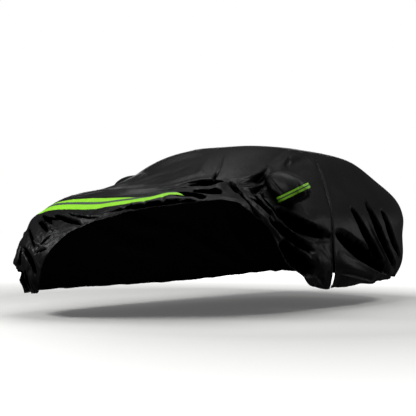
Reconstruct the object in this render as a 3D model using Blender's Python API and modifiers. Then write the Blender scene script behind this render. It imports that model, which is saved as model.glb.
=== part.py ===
"""Fitted car cover of black coated cloth, pulled back off one front corner.

The cover is one draped sheet with a mirror pocket on each side, an opened door
zip in its left side, and reflective strips on the bonnet and on the pockets.
Metres. The nose points to -Y, the left side to +X and up is +Z. Heights in the
tables are above the ground. The origin is on the underside of the cloth on the
roof, over the middle of the wheelbase.
"""
import math

import bmesh
import bpy
import numpy as np
from mathutils import Matrix, Vector

# ---------------------------------------------------------------- main sizes
ROOF_UNDERSIDE = 1.516          # height of the frame's origin above the ground
ROOF_CROWN = 1.530              # height of the form at the middle of the roof
CLOTH_THICKNESS = 0.002
STRIP_THICKNESS = 0.0012
POCKET_THICKNESS = 0.0016
SEAT_GAP = 0.0004               # between two pieces that are sewn together

# ------------------------------------------------- the form under the cloth
# level, half width, front y, rear y, front height, side height, rear height, squareness
RINGS = [
    ("roof middle", 0.400, -0.150, 1.100, 1.510, 1.520, 1.480, 3.0),
    ("roof edge",   0.610, -0.330, 1.650, 1.475, 1.460, 1.415, 3.2),
    ("glass",       0.760, -0.790, 2.040, 1.290, 1.220, 1.260, 3.6),
    ("belt",        0.890, -1.200, 2.250, 1.110, 0.980, 1.115, 4.0),
    ("shoulder",    0.945, -1.680, 2.290, 0.990, 0.830, 0.910, 4.8),
    ("nose",        0.962, -1.995, 2.280, 0.820, 0.680, 0.690, 4.6),
    ("bumper",      0.970, -2.172, 2.250, 0.560, 0.480, 0.500, 5.0),
    ("sill",        0.952, -2.170, 2.200, 0.360, 0.330, 0.370, 5.2),
    ("hem",         0.900, -2.110, 2.090, 0.190, 0.180, 0.240, 5.2),
]
LOWEST_LEVEL = len(RINGS) - 1

# The way round the car is counted from 0 to 8: the right front corner is 0, the
# left front corner 2, the left rear corner 4 and the right rear corner 6.
# place, way round, level of the hem there
HEM = [
    ("right front corner", 0.00, 8.00),
    ("corner of the cloth", 0.54, 7.95),
    ("front edge, bottom", 0.60, 7.45),
    ("front edge",         0.72, 6.45),
    ("under the lip",      0.79, 5.96),
    ("lip",                0.91, 5.52),
    ("lip",                1.06, 5.27),
    ("over the bonnet",    1.30, 4.97),
    ("over the bonnet",    1.50, 4.66),
    ("over the bonnet",    1.77, 4.35),
    ("left front corner",  2.03, 3.89),
    ("wing, highest",      2.15, 3.84),
    ("wing",               2.34, 4.23),
    ("wing",               2.53, 4.84),
    ("door",               2.64, 5.59),
    ("door",               2.76, 6.35),
    ("sill",               2.94, 7.60),
    ("before the zip",     3.06, 7.86),
    ("behind the zip",     3.20, 7.89),
    ("rear wheel",         3.55, 7.80),
    ("left rear corner",   4.00, 7.70),
    ("tail",               5.00, 7.90),
    ("right rear corner",  6.00, 7.80),
    ("right side",         7.00, 7.95),
    ("right front corner", 8.00, 8.00),
]

HEM_EASING = 0.012              # way round over which the hem's corners are eased

# stretch, first way round, last way round, columns of the sheet
COLUMNS = [
    ("nose, covered",   0.00, 0.50, 22),
    ("nose, edge",      0.50, 1.10, 44),
    ("nose, bare",      1.10, 2.00, 36),
    ("left side",       2.00, 4.00, 130),
    ("tail",            4.00, 6.00, 34),
    ("right side",      6.00, 8.00, 84),
]
ROOF_ROWS = 12                  # from the middle of the roof to the first ring
SIDE_ROWS = 110                 # from the first ring to the hem
SHEET_FACES = 4300              # triangles left in the sheet's outer face

# ------------------------------------------------------------------- folds
# name, start, middle, end, half width, height (below zero: a furrow)
FOLDS = [
    # left side, from the pocket and the wing back to the zip
    ("pocket swag, edge",   (0.91, -0.66, 0.94), (0.94, -0.52, 0.85), (0.95, -0.30, 0.80), 0.045, 0.018),
    ("pocket swag",         (0.91, -0.78, 0.94), (0.96, -0.40, 0.78), (0.96, 0.05, 0.71), 0.085, -0.046),
    ("middle swag, edge",   (0.87, -0.90, 0.99), (0.96, -0.58, 0.77), (0.97, -0.05, 0.61), 0.045, 0.024),
    ("middle swag",         (0.93, -0.86, 0.88), (0.97, -0.55, 0.69), (0.97, -0.14, 0.54), 0.075, -0.040),
    ("low swag, edge",      (0.90, -0.94, 0.94), (0.97, -0.60, 0.63), (0.97, -0.10, 0.42), 0.042, 0.026),
    ("low swag",            (0.95, -0.74, 0.66), (0.97, -0.45, 0.47), (0.96, -0.02, 0.32), 0.090, -0.044),
    ("hem roll",            (0.86, -1.08, 0.94), (0.96, -0.76, 0.71), (0.96, -0.30, 0.35), 0.050, 0.018),
    ("zip bulge",           (0.97, -0.22, 0.60), (0.97, -0.04, 0.51), (0.97, 0.08, 0.44), 0.120, 0.030),
    ("door belly",          (0.93, -0.25, 0.90), (0.94, 0.00, 0.86), (0.95, 0.20, 0.80), 0.160, 0.016),
    # gathers between the pocket, the pillar and the wing
    ("pillar fold",         (0.66, -0.42, 1.29), (0.69, -0.69, 1.18), (0.70, -0.97, 1.10), 0.050, 0.026),
    ("pillar furrow",       (0.70, -0.52, 1.21), (0.74, -0.80, 1.12), (0.76, -1.00, 1.05), 0.050, -0.030),
    ("pocket gather, top",  (0.76, -0.60, 1.14), (0.78, -0.81, 1.08), (0.77, -0.95, 1.06), 0.035, 0.020),
    ("pocket gather, pit",  (0.80, -0.68, 1.09), (0.81, -0.80, 1.06), (0.82, -0.92, 1.03), 0.045, -0.030),
    ("pocket gather, low",  (0.77, -0.94, 1.07), (0.84, -0.78, 1.03), (0.89, -0.66, 0.98), 0.032, 0.022),
    ("wing pleat",          (0.84, -1.08, 1.00), (0.87, -1.05, 0.96), (0.91, -1.03, 0.91), 0.035, 0.016),
    ("pillar edge",         (0.67, -0.36, 1.29), (0.62, -0.04, 1.42), (0.57, 0.26, 1.48), 0.090, 0.020),
    ("glass hollow",        (0.74, -0.26, 1.24), (0.71, 0.00, 1.34), (0.68, 0.30, 1.38), 0.090, -0.018),
    # windscreen and its foot
    ("screen furrow",       (0.24, -0.48, 1.40), (0.40, -0.80, 1.26), (0.50, -1.00, 1.15), 0.055, -0.026),
    ("screen fold",         (0.17, -0.52, 1.40), (0.33, -0.85, 1.25), (0.43, -1.04, 1.14), 0.055, 0.022),
    ("screen foot, edge",   (0.18, -1.36, 1.07), (0.34, -1.10, 1.14), (0.56, -1.01, 1.15), 0.055, 0.030),
    ("screen foot, pit",    (0.26, -1.34, 1.07), (0.46, -1.17, 1.10), (0.64, -1.10, 1.10), 0.095, -0.062),
    ("screen foot, ribbon", (0.30, -1.32, 1.07), (0.49, -1.25, 1.08), (0.65, -1.17, 1.08), 0.032, 0.026),
    ("screen foot, pleat",  (0.65, -0.96, 1.12), (0.73, -1.00, 1.07), (0.81, -1.05, 1.01), 0.050, -0.032),
    ("screen foot, roll",   (0.40, -1.40, 1.05), (0.62, -1.34, 1.04), (0.80, -1.20, 1.00), 0.040, 0.018),
    ("far screen hollow",   (-0.05, -0.92, 1.20), (-0.26, -1.22, 1.10), (-0.32, -1.50, 1.03), 0.110, -0.030),
    ("far screen ripple",   (-0.45, -0.80, 1.20), (-0.40, -1.10, 1.12), (-0.46, -1.36, 1.05), 0.080, 0.018),
    # bonnet, above the strip
    ("bonnet ripple 1",     (-0.42, -1.64, 0.98), (-0.20, -1.60, 1.01), (0.02, -1.48, 1.04), 0.050, 0.016),
    ("bonnet ripple 2",     (-0.30, -1.50, 1.02), (-0.05, -1.42, 1.05), (0.18, -1.30, 1.08), 0.060, -0.020),
    # crumpled cloth between the strip and the hem
    ("lip fold 1",          (-0.48, -1.93, 0.87), (-0.22, -2.02, 0.81), (0.00, -2.08, 0.76), 0.045, -0.030),
    ("lip fold 2",          (-0.30, -1.94, 0.87), (-0.04, -2.02, 0.81), (0.20, -2.03, 0.81), 0.040, 0.024),
    ("lip fold 3",          (-0.13, -1.96, 0.86), (0.10, -2.00, 0.83), (0.24, -2.00, 0.82), 0.036, -0.024),
    ("lip fold 4",          (-0.60, -1.93, 0.86), (-0.47, -2.03, 0.79), (-0.34, -2.10, 0.71), 0.045, -0.032),
    ("lip fold 5",          (-0.52, -1.98, 0.83), (-0.38, -2.09, 0.73), (-0.17, -2.14, 0.63), 0.038, 0.026),
    ("lip fold 6",          (-0.44, -2.04, 0.78), (-0.28, -2.12, 0.67), (-0.14, -2.13, 0.65), 0.035, -0.026),
    ("bonnet tick 1",       (0.26, -1.87, 0.91), (0.30, -1.93, 0.88), (0.34, -1.98, 0.86), 0.024, -0.016),
    ("bonnet tick 2",       (0.32, -1.83, 0.92), (0.37, -1.90, 0.89), (0.41, -1.96, 0.86), 0.024, 0.014),
    ("bonnet tick 3",       (0.40, -1.78, 0.94), (0.45, -1.85, 0.91), (0.50, -1.90, 0.89), 0.026, -0.016),
    ("bonnet tick 4",       (0.50, -1.68, 0.97), (0.56, -1.76, 0.94), (0.61, -1.83, 0.91), 0.030, -0.018),
    # cloth hanging over the right of the nose
    ("nose pit",            (-0.62, -2.00, 0.78), (-0.50, -2.11, 0.66), (-0.41, -2.15, 0.56), 0.048, -0.036),
    ("nose crest",          (-0.70, -1.98, 0.76), (-0.60, -2.09, 0.62), (-0.54, -2.14, 0.50), 0.045, 0.026),
    ("nose pinch",          (-0.34, -2.16, 0.55), (-0.29, -2.15, 0.58), (-0.23, -2.14, 0.62), 0.032, -0.026),
    ("nose pinch, crest",   (-0.44, -2.15, 0.60), (-0.36, -2.15, 0.58), (-0.26, -2.17, 0.53), 0.030, 0.020),
    ("hanging furrow 1",    (-0.60, -2.12, 0.56), (-0.56, -2.17, 0.38), (-0.60, -2.10, 0.20), 0.045, -0.036),
    ("hanging fold 1",      (-0.53, -2.14, 0.55), (-0.48, -2.18, 0.38), (-0.51, -2.13, 0.22), 0.032, 0.028),
    ("hanging furrow 2",    (-0.48, -2.16, 0.52), (-0.42, -2.19, 0.42), (-0.44, -2.16, 0.26), 0.038, -0.032),
    ("hanging fold 2",      (-0.41, -2.16, 0.53), (-0.35, -2.19, 0.43), (-0.40, -2.17, 0.28), 0.032, 0.026),
    ("hanging furrow 3",    (-0.76, -2.06, 0.62), (-0.74, -2.13, 0.42), (-0.76, -2.06, 0.22), 0.060, -0.034),
    ("hanging fold 3",      (-0.68, -2.10, 0.60), (-0.66, -2.16, 0.40), (-0.68, -2.09, 0.22), 0.040, 0.024),
    # left side behind the zip: furrows that gather at the rear wheel
    ("fan furrow 1",        (0.95, 0.30, 0.78), (0.97, 0.84, 0.51), (0.89, 1.60, 0.29), 0.105, -0.054),
    ("fan furrow 2",        (0.90, 0.68, 0.96), (0.96, 0.88, 0.71), (0.96, 1.20, 0.48), 0.062, -0.036),
    ("fan furrow 3",        (0.87, 1.02, 1.03), (0.95, 1.23, 0.72), (0.92, 1.60, 0.36), 0.085, -0.046),
    ("fan furrow 4",        (0.90, 1.32, 0.96), (0.94, 1.56, 0.76), (0.89, 1.82, 0.52), 0.065, -0.034),
    ("fan crest 1",         (0.97, 0.58, 0.76), (0.97, 0.90, 0.58), (0.96, 1.24, 0.44), 0.050, 0.022),
    ("fan crest 2",         (0.95, 0.86, 0.84), (0.96, 1.16, 0.61), (0.92, 1.54, 0.34), 0.045, 0.022),
    ("fan crest 3",         (0.92, 1.30, 0.93), (0.93, 1.58, 0.62), (0.87, 1.85, 0.38), 0.035, 0.022),
    ("wheel crest 1",       (0.87, 1.70, 0.28), (0.96, 1.05, 0.37), (0.97, 0.36, 0.49), 0.050, 0.022),
    ("wheel crest 2",       (0.88, 1.66, 0.27), (0.95, 1.10, 0.31), (0.95, 0.60, 0.36), 0.034, 0.016),
    ("wheel furrow",        (0.94, 0.34, 0.33), (0.94, 0.70, 0.29), (0.93, 1.04, 0.28), 0.045, -0.024),
    ("zip dimple",          (0.94, 0.34, 0.84), (0.95, 0.41, 0.79), (0.96, 0.48, 0.76), 0.045, -0.018),
    ("quarter dent",        (0.79, 0.82, 1.16), (0.83, 0.89, 1.10), (0.87, 0.95, 1.03), 0.055, -0.014),
    # tail
    ("tail swag 1",         (0.60, 2.21, 0.92), (0.10, 2.26, 0.78), (-0.50, 2.22, 0.88), 0.120, -0.034),
    ("tail swag 2",         (0.74, 2.20, 0.66), (0.10, 2.24, 0.52), (-0.66, 2.20, 0.62), 0.100, -0.036),
    ("tail furrow 1",       (0.52, 2.24, 0.70), (0.48, 2.22, 0.48), (0.50, 2.12, 0.26), 0.060, -0.030),
    ("tail furrow 2",       (-0.30, 2.26, 0.72), (-0.34, 2.24, 0.48), (-0.30, 2.13, 0.26), 0.060, -0.030),
    # right side
    ("right swag 1",        (-0.91, -0.76, 0.94), (-0.96, -0.30, 0.76), (-0.96, 0.20, 0.74), 0.120, -0.030),
    ("right swag 2",        (-0.95, -1.10, 0.78), (-0.97, -0.50, 0.55), (-0.97, 0.10, 0.50), 0.130, -0.032),
    ("right furrow 1",      (-0.93, -1.66, 0.76), (-0.95, -1.42, 0.50), (-0.93, -1.30, 0.26), 0.120, -0.026),
    ("right furrow 2",      (-0.96, 0.30, 0.74), (-0.97, 0.84, 0.52), (-0.90, 1.55, 0.30), 0.130, -0.034),
    ("right furrow 3",      (-0.88, 1.05, 1.00), (-0.95, 1.28, 0.70), (-0.92, 1.62, 0.38), 0.110, -0.030),
    ("right crest 1",       (-0.90, -0.60, 0.98), (-0.96, -0.10, 0.84), (-0.96, 0.50, 0.82), 0.090, 0.018),
]
# The hem under the bonnet strip is tucked back: way round, distance
HEM_TUCKS = [(0.95, 0.0), (1.15, 0.035), (1.40, 0.065), (1.66, 0.065), (1.80, 0.0)]
HEM_TUCK_WAY = (-0.60, 0.80, 0.0)
HEM_TUCK_REACH = 0.120          # how far up the cloth it starts
FOLD_STEPS = 24                 # straight pieces in a fold's line
HEM_WAVE = 0.010                # how far the hem's waves stand in and out
HEM_WAVES_ROUND = 37            # waves in the way round
HEM_WAVE_LEVELS = 1.6           # how far up from the hem they fade out

# ----------------------------------------------------------------- door zip
ZIP_TOP = (0.425, 1.420)        # y and height of the upper end of the zip
ZIP_SLIT_TOP = (0.215, 0.830)   # where the open part starts
ZIP_BOTTOM = (0.282, 0.160)
SLIT_HALF_WIDTH = 0.026         # half of the gap at the hem
SLIT_BEND = (0.190, 0.520)      # a point half way down the slit
SLIT_BEND_HALF_WIDTH = 0.020
TAPE_WIDTH = 0.024
TAPE_SETBACK = 0.003            # from the slit's edge to the tape
TAPE_PARTING = 0.0008           # half of the gap where the zip is closed
SLIDER_SIZE = (0.007, 0.014, 0.026)
SLIDER_RISE = 0.020             # from the slit's top to the slider's middle
BELOW_HEM = 0.060               # how far the zip's outlines run past the hem
SIDE_REACH = (0.500, 1.200)     # x where outlines cut through the left side
BONNET_REACH = (0.700, 1.200)   # heights where the strip's outline cuts the bonnet

# ---------------------------------------------------------- reflective strips
# the bonnet strip from above, x and y, first along its rear edge
BONNET_STRIP = [
    (-0.66, -1.780), (-0.40, -1.757), (-0.07, -1.750), (0.22, -1.738), (0.35, -1.736),
    (0.425, -1.695), (0.470, -1.600), (0.500, -1.555), (0.550, -1.545), (0.630, -1.570),
    (0.565, -1.615), (0.530, -1.665), (0.470, -1.758), (0.40, -1.805), (0.19, -1.882),
    (0.00, -1.926), (-0.23, -1.928), (-0.46, -1.914), (-0.68, -1.890),
]
POCKET_STRIP_WIDTH = 0.047
# where the strips end, along them from their middle
POCKET_STRIP_ENDS = {"left": (-0.150, 0.160), "right": (-0.100, 0.160)}
POCKET_STRIP_SLOPE = 0.50       # rise for each metre outwards
POCKET_STRIP_PLACE = (0.043, -0.021)    # out and up from the pocket's middle
POCKET_STRIP_TURN = math.radians(36.7)  # the side from which the strip looks straight
POCKET_STRIP_BEHIND = 0.160     # how far behind the pocket's middle the strip ends
POCKET_BAND_REACH = 0.400       # how far its cutter runs forward
POCKET_NEIGHBOURHOOD = 0.34     # how far round a pocket the cloth can meet its strip
SKIN_DEPTH = 0.050              # how deep the strip is trimmed under the cloth's face

# -------------------------------------------------------------- mirror pockets
# side, sign of x, middle (x, y, height), half sizes (x, y, z)
POCKETS = [
    ("left", 1.0, (0.905, -0.500, 1.065), (0.220, 0.155, 0.160)),
    ("right", -1.0, (0.865, -0.500, 1.095), (0.195, 0.145, 0.140)),
]
POCKET_SQUARENESS = 2.5
POCKET_FURROW = 0.022          # depth of its furrows as a share of its size
POCKET_TUCK = 0.45              # how far its underside is drawn up towards the strip
POCKET_SEGMENTS = 28
POCKET_RINGS = 16
POCKET_MOUTH = (0.650, 1.200)   # x and height of the mouth's upper end
POCKET_MOUTH_FOOT = (0.850, 0.935)


# =================================================================== helpers
def linear(hex_colour):
    """A hex colour as the linear RGBA that a Principled shader takes."""
    channels = [int(hex_colour[i:i + 2], 16) / 255.0 for i in (1, 3, 5)]
    return [c / 12.92 if c <= 0.04045 else ((c + 0.055) / 1.055) ** 2.4 for c in channels] + [1.0]


def make_material(name, hex_colour, roughness, metallic=0.0):
    material = bpy.data.materials.new(name)
    material.use_nodes = True
    shader = material.node_tree.nodes["Principled BSDF"]
    shader.inputs["Base Color"].default_value = linear(hex_colour)
    shader.inputs["Roughness"].default_value = roughness
    shader.inputs["Metallic"].default_value = metallic
    return material


def make_collection(name):
    collection = bpy.data.collections.new(name)
    bpy.context.scene.collection.children.link(collection)
    return collection


def make_object(name, mesh, collection, material=None):
    thing = bpy.data.objects.new(name, mesh)
    collection.objects.link(thing)
    if material is not None:
        mesh.materials.clear()
        mesh.materials.append(material)
    return thing


def as_cutter(thing):
    thing.hide_render = True
    thing.display_type = "WIRE"
    return thing


def apply_modifiers(thing):
    """Replace an object's mesh by the one that its modifiers make."""
    graph = bpy.context.evaluated_depsgraph_get()
    shaped = bpy.data.meshes.new_from_object(thing.evaluated_get(graph))
    thing.modifiers.clear()
    thing.data = shaped
    return thing


def cut(thing, operation, cutter):
    modifier = thing.modifiers.new(operation.title(), "BOOLEAN")
    modifier.operation = operation
    modifier.object = cutter
    modifier.solver = "EXACT"


def in_frame(point):
    """A table's point, with its height above the ground, in the part's frame."""
    return Vector((point[0], point[1], point[2] - ROOF_UNDERSIDE))


# ========================================================= form of the cloth
def ring_values(level):
    """The rings' sizes at any level, by a cubic curve through the table."""
    table = np.array([row[1:] for row in RINGS])
    level = np.clip(level, 0, LOWEST_LEVEL)
    lower = np.minimum(level.astype(int), LOWEST_LEVEL - 1)
    t = (level - lower)[..., None]
    before = table[np.maximum(lower - 1, 0)]
    start = table[lower]
    end = table[lower + 1]
    after = table[np.minimum(lower + 2, LOWEST_LEVEL)]
    span_start = np.where((lower > 0)[..., None], 2.0, 1.0)
    span_end = np.where((lower + 2 <= LOWEST_LEVEL)[..., None], 2.0, 1.0)
    slope_start = (end - before) / span_start
    slope_end = (after - start) / span_end
    return ((2 * t**3 - 3 * t**2 + 1) * start + (t**3 - 2 * t**2 + t) * slope_start
            + (3 * t**2 - 2 * t**3) * end + (t**3 - t**2) * slope_end)


def square_place(way):
    """The way round, 0 to 8, as a place on the edge of a square."""
    way = np.mod(way, 8.0)
    across = np.select([way < 2, way < 4, way < 6], [way - 1, np.ones_like(way), 5 - way], -1.0)
    along = np.select([way < 2, way < 4, way < 6], [-np.ones_like(way), way - 3, 1.0], 7 - way)
    return across, along


def form_points(way, level):
    """Points of the plain form, without folds. Levels below 0 lie on the roof."""
    across, along = square_place(way)
    values = np.moveaxis(ring_values(level), -1, 0)
    half_width, front, rear, z_front, z_side, z_rear, squareness = values
    reach = (np.abs(across) ** squareness + np.abs(along) ** squareness) ** (1 / squareness)
    lengthwise = along / reach
    x = half_width * across / reach
    y = (front + rear) / 2 + (rear - front) / 2 * lengthwise
    z = (z_side + (z_front - z_side) * np.maximum(-lengthwise, 0) ** 2
         + (z_rear - z_side) * np.maximum(lengthwise, 0) ** 2)
    inward = np.clip(1 + level, 0, 1)
    middle = (front + rear) / 2
    on_roof = level < 0
    x = np.where(on_roof, x * inward, x)
    y = np.where(on_roof, middle + (y - middle) * inward, y)
    z = np.where(on_roof, ROOF_CROWN + (z - ROOF_CROWN) * inward**2, z)
    return np.stack([x, y, z], -1)


def smooth_hem(way):
    """The hem's level, eased between the rows of its table."""
    places = np.array([row[1] for row in HEM])
    levels = np.array([row[2] for row in HEM])
    taps = [np.interp(np.mod(way + k * HEM_EASING, 8.0), places, levels) for k in (-2, -1, 0, 1, 2)]
    return sum(taps) / len(taps)


def fold_line(start, middle, end):
    """A curve that starts, passes half way and ends at the three points."""
    start, middle, end = np.array(start), np.array(middle), np.array(end)
    handle = 2 * middle - (start + end) / 2
    t = np.linspace(0, 1, FOLD_STEPS + 1)[:, None]
    return (1 - t) ** 2 * start + 2 * t * (1 - t) * handle + t**2 * end


def fold_heights(points):
    """How far each point of the plain form moves out along its normal."""
    flat = points.reshape(-1, 3)
    total = np.zeros(len(flat))
    for _, start, middle, end, half_width, height in FOLDS:
        line = fold_line(start, middle, end)
        low = line.min(axis=0) - half_width
        high = line.max(axis=0) + half_width
        near = np.where(((flat > low) & (flat < high)).all(axis=1))[0]
        best = np.full(len(near), 1e9)
        along = np.zeros(len(near))
        for step in range(FOLD_STEPS):
            here = line[step]
            run = line[step + 1] - here
            t = np.clip((flat[near] - here) @ run / (run @ run), 0, 1)
            gap = np.linalg.norm(flat[near] - here - t[:, None] * run, axis=1)
            closer = gap < best
            best = np.where(closer, gap, best)
            along = np.where(closer, (step + t) / FOLD_STEPS, along)
        profile = np.maximum(1 - (best / half_width) ** 2, 0) ** 2
        fade = np.clip(4 * along * (1 - along), 0, 1) ** 0.6
        total[near] += height * profile * fade
    return total.reshape(points.shape[:-1])


def hem_waves(way, level, hem):
    """Small waves that the gathered hem makes, fading out upwards."""
    rise = np.clip(1 - (hem - level) / HEM_WAVE_LEVELS, 0, 1) ** 2
    wave = (np.sin(way * HEM_WAVES_ROUND * math.pi / 4)
            + 0.5 * np.sin(way * HEM_WAVES_ROUND * math.pi / 4 * 1.618 + 1.0))
    return HEM_WAVE * rise * wave


def height_above_hem(points):
    """Each point's distance up the cloth from the hem, along its column."""
    steps = np.linalg.norm(np.diff(points, axis=0), axis=-1)
    run = np.concatenate([np.zeros((1, points.shape[1])), np.cumsum(steps, axis=0)])
    return run[-1] - run


def hem_tuck(way, above):
    """How far the hem under the bonnet strip is tucked back."""
    tuck = np.interp(np.mod(way, 8.0), *np.array(HEM_TUCKS).T)
    share = np.clip(1 - above / HEM_TUCK_REACH, 0, 1)
    return (tuck * share**2 * (3 - 2 * share))[..., None] * np.array(HEM_TUCK_WAY)


def sheet_grid():
    """The draped sheet as rows of points, with folds: its outer face."""
    ways = []
    for _, first, last, count in COLUMNS:
        ways.extend(np.linspace(first, last, count, endpoint=False))
    ways = np.array(ways)
    hem = smooth_hem(ways)
    roof = np.linspace(-1, 0, ROOF_ROWS, endpoint=False)[1:]
    side = np.linspace(0, 1, SIDE_ROWS)
    level = np.vstack([np.repeat(roof[:, None], len(ways), axis=1), side[:, None] * hem])
    way = np.repeat(ways[None, :], len(level), axis=0)
    points = form_points(way, level)
    around = np.roll(points, -1, axis=1) - np.roll(points, 1, axis=1)
    down = np.gradient(points, axis=0)
    normals = np.cross(down, around)
    normals /= np.linalg.norm(normals, axis=-1, keepdims=True)
    height = fold_heights(points) + hem_waves(way, level, hem)
    return points + normals * height[..., None] + hem_tuck(way, height_above_hem(points))


def build_sheet(collection):
    """The cover's outer face, thinned out to the triangles that its folds need."""
    grid = sheet_grid()
    rows, columns = grid.shape[:2]
    form = bmesh.new()
    crown = form.verts.new(in_frame((0.0, (RINGS[0][2] + RINGS[0][3]) / 2, ROOF_CROWN)))
    verts = [[form.verts.new(in_frame(point)) for point in row] for row in grid]
    for c in range(columns):
        after = (c + 1) % columns
        form.faces.new((crown, verts[0][c], verts[0][after]))
        for r in range(rows - 1):
            form.faces.new((verts[r][c], verts[r + 1][c], verts[r + 1][after], verts[r][after]))
    bmesh.ops.recalc_face_normals(form, faces=form.faces)
    bmesh.ops.triangulate(form, faces=form.faces)
    face_count = len(form.faces)
    mesh = bpy.data.meshes.new("sheet")
    form.to_mesh(mesh)
    form.free()
    sheet = make_object("sheet", mesh, collection)
    thinning = sheet.modifiers.new("Thin out", "DECIMATE")
    thinning.ratio = SHEET_FACES / face_count
    return apply_modifiers(sheet)


def copy_of(thing, name, collection, material=None):
    return make_object(name, thing.data.copy(), collection, material)


def keep_faces(mesh, wanted):
    """Drop the faces whose middle isn't wanted."""
    form = bmesh.new()
    form.from_mesh(mesh)
    spare = [face for face in form.faces if not wanted(face.calc_center_median())]
    bmesh.ops.delete(form, geom=spare, context="FACES")
    form.to_mesh(mesh)
    form.free()


def lift(mesh, distance):
    """Move each vertex out along its normal."""
    form = bmesh.new()
    form.from_mesh(mesh)
    form.normal_update()
    places = [vert.co + vert.normal * distance for vert in form.verts]
    for vert, place in zip(form.verts, places):
        vert.co = place
    form.to_mesh(mesh)
    form.free()


# ============================================================ outline prisms
def prism(name, outline, near, far, axis, collection):
    """A flat outline as a solid that runs along an axis between two places."""
    form = bmesh.new()
    if axis == "X":
        corners = [(near, y, z) for y, z in outline]
        run = Vector((far - near, 0, 0))
    else:
        corners = [(x, y, near) for x, y in outline]
        run = Vector((0, 0, far - near))
    base = [form.verts.new(in_frame(corner)) for corner in corners]
    face = form.faces.new(base)
    grown = bmesh.ops.extrude_face_region(form, geom=[face])
    tops = [item for item in grown["geom"] if isinstance(item, bmesh.types.BMVert)]
    bmesh.ops.translate(form, verts=tops, vec=run)
    bmesh.ops.recalc_face_normals(form, faces=form.faces)
    mesh = bpy.data.meshes.new(name)
    form.to_mesh(mesh)
    form.free()
    return as_cutter(make_object(name, mesh, collection))


def layer(name, sheet, wanted, gap, thickness, outward, collection, material=None):
    """A solid layer along some faces of a sheet, from a gap above its face."""
    piece = copy_of(sheet, name, collection, material)
    keep_faces(piece.data, wanted)
    lift(piece.data, gap)
    thicken = piece.modifiers.new("Thickness", "SOLIDIFY")
    thicken.thickness = thickness
    thicken.offset = 1.0 if outward else -1.0
    return piece


def patch(name, sheet, cutter, wanted, parts, material):
    """A strip sewn on a sheet: it follows the sheet's face inside an outline."""
    strip = layer(name, sheet, wanted, SEAT_GAP, STRIP_THICKNESS, True, parts, material)
    cut(strip, "INTERSECT", cutter)
    return strip


# ================================================================= the pieces
def pocket_mesh(sign, middle, half_sizes, growth):
    """A closed rounded form of a mirror pocket, grown evenly by a distance."""
    form = bmesh.new()
    bmesh.ops.create_uvsphere(form, u_segments=POCKET_SEGMENTS, v_segments=POCKET_RINGS, radius=1.0)
    for vert in form.verts:
        reach = sum(abs(c) ** POCKET_SQUARENESS for c in vert.co) ** (1 / POCKET_SQUARENESS)
        shape = vert.co / reach
        outward = max(shape.x, 0.0)
        shape.z *= 1 - 0.16 * outward
        shape.z -= 0.10 * shape.y * outward
        vert.co = Vector((shape.x * half_sizes[0], shape.y * half_sizes[1], shape.z * half_sizes[2]))
    pocket_folds(form)
    turn = Matrix.Rotation(math.radians(14.0), 4, "Y")
    place = Matrix.Translation(in_frame(middle)) @ turn
    bmesh.ops.transform(form, matrix=place, verts=form.verts)
    for vert in form.verts:
        below = -band_height(vert.co, middle) - POCKET_STRIP_WIDTH / 2
        vert.co.z += POCKET_TUCK * max(below, 0.0)
    if sign < 0:
        bmesh.ops.scale(form, vec=(-1, 1, 1), verts=form.verts)
    bmesh.ops.triangulate(form, faces=form.faces)
    bmesh.ops.recalc_face_normals(form, faces=form.faces)
    form.normal_update()
    places = [vert.co + vert.normal * growth for vert in form.verts]
    for vert, spot in zip(form.verts, places):
        vert.co = spot
    return form


def pocket_folds(form):
    """Soft furrows that run over the pocket from its front foot."""
    for vert in form.verts:
        angle = math.atan2(vert.co.z, vert.co.y)
        furrow = 0.5 + 0.5 * math.cos(7 * angle + 9 * vert.co.x)
        vert.co *= 1 - POCKET_FURROW * furrow


def build_pocket(side, sign, middle, half_sizes, parts, cutters, material):
    """A hollow pocket, open to the inside, and the cutter of its hole."""
    hole_form = pocket_mesh(sign, middle, half_sizes, SEAT_GAP)
    hole_mesh = bpy.data.meshes.new("pocket_hole_" + side)
    hole_form.to_mesh(hole_mesh)
    hole_form.free()
    hole = as_cutter(make_object("pocket_hole_" + side, hole_mesh, cutters))

    form = pocket_mesh(sign, middle, half_sizes, 0.0)
    top = in_frame((sign * POCKET_MOUTH[0], 0, POCKET_MOUTH[1]))
    foot = in_frame((sign * POCKET_MOUTH_FOOT[0], 0, POCKET_MOUTH_FOOT[1]))
    down = foot - top
    inward = Vector((down.z * sign, 0, -down.x * sign)).normalized()
    geometry = form.verts[:] + form.edges[:] + form.faces[:]
    bmesh.ops.bisect_plane(form, geom=geometry, plane_co=top, plane_no=inward, clear_outer=True)
    mesh = bpy.data.meshes.new("mirror_pocket_" + side)
    form.to_mesh(mesh)
    form.free()
    pocket = make_object("mirror_pocket_" + side, mesh, parts, material)
    thicken = pocket.modifiers.new("Thickness", "SOLIDIFY")
    thicken.thickness = POCKET_THICKNESS
    thicken.offset = -1.0
    outer = copy_of(pocket, "pocket_face_" + side, cutters)
    apply_modifiers(pocket)
    return pocket, hole, as_cutter(outer)


def band_axes():
    """Directions along and across the pocket strip, level with the side it looks straight from."""
    out = Vector((math.cos(POCKET_STRIP_TURN), math.sin(POCKET_STRIP_TURN), 0.0))
    up = Vector((0.0, 0.0, 1.0))
    along = (out + up * POCKET_STRIP_SLOPE).normalized()
    across = (up - out * POCKET_STRIP_SLOPE).normalized()
    return out, up, along, across


def band_centre(middle):
    out, up, _, _ = band_axes()
    return in_frame(middle) + out * POCKET_STRIP_PLACE[0] + up * POCKET_STRIP_PLACE[1]


def band_height(spot, middle):
    """How far a point of the left pocket lies above the middle line of its strip."""
    return (spot - band_centre(middle)).dot(band_axes()[3])


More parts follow.
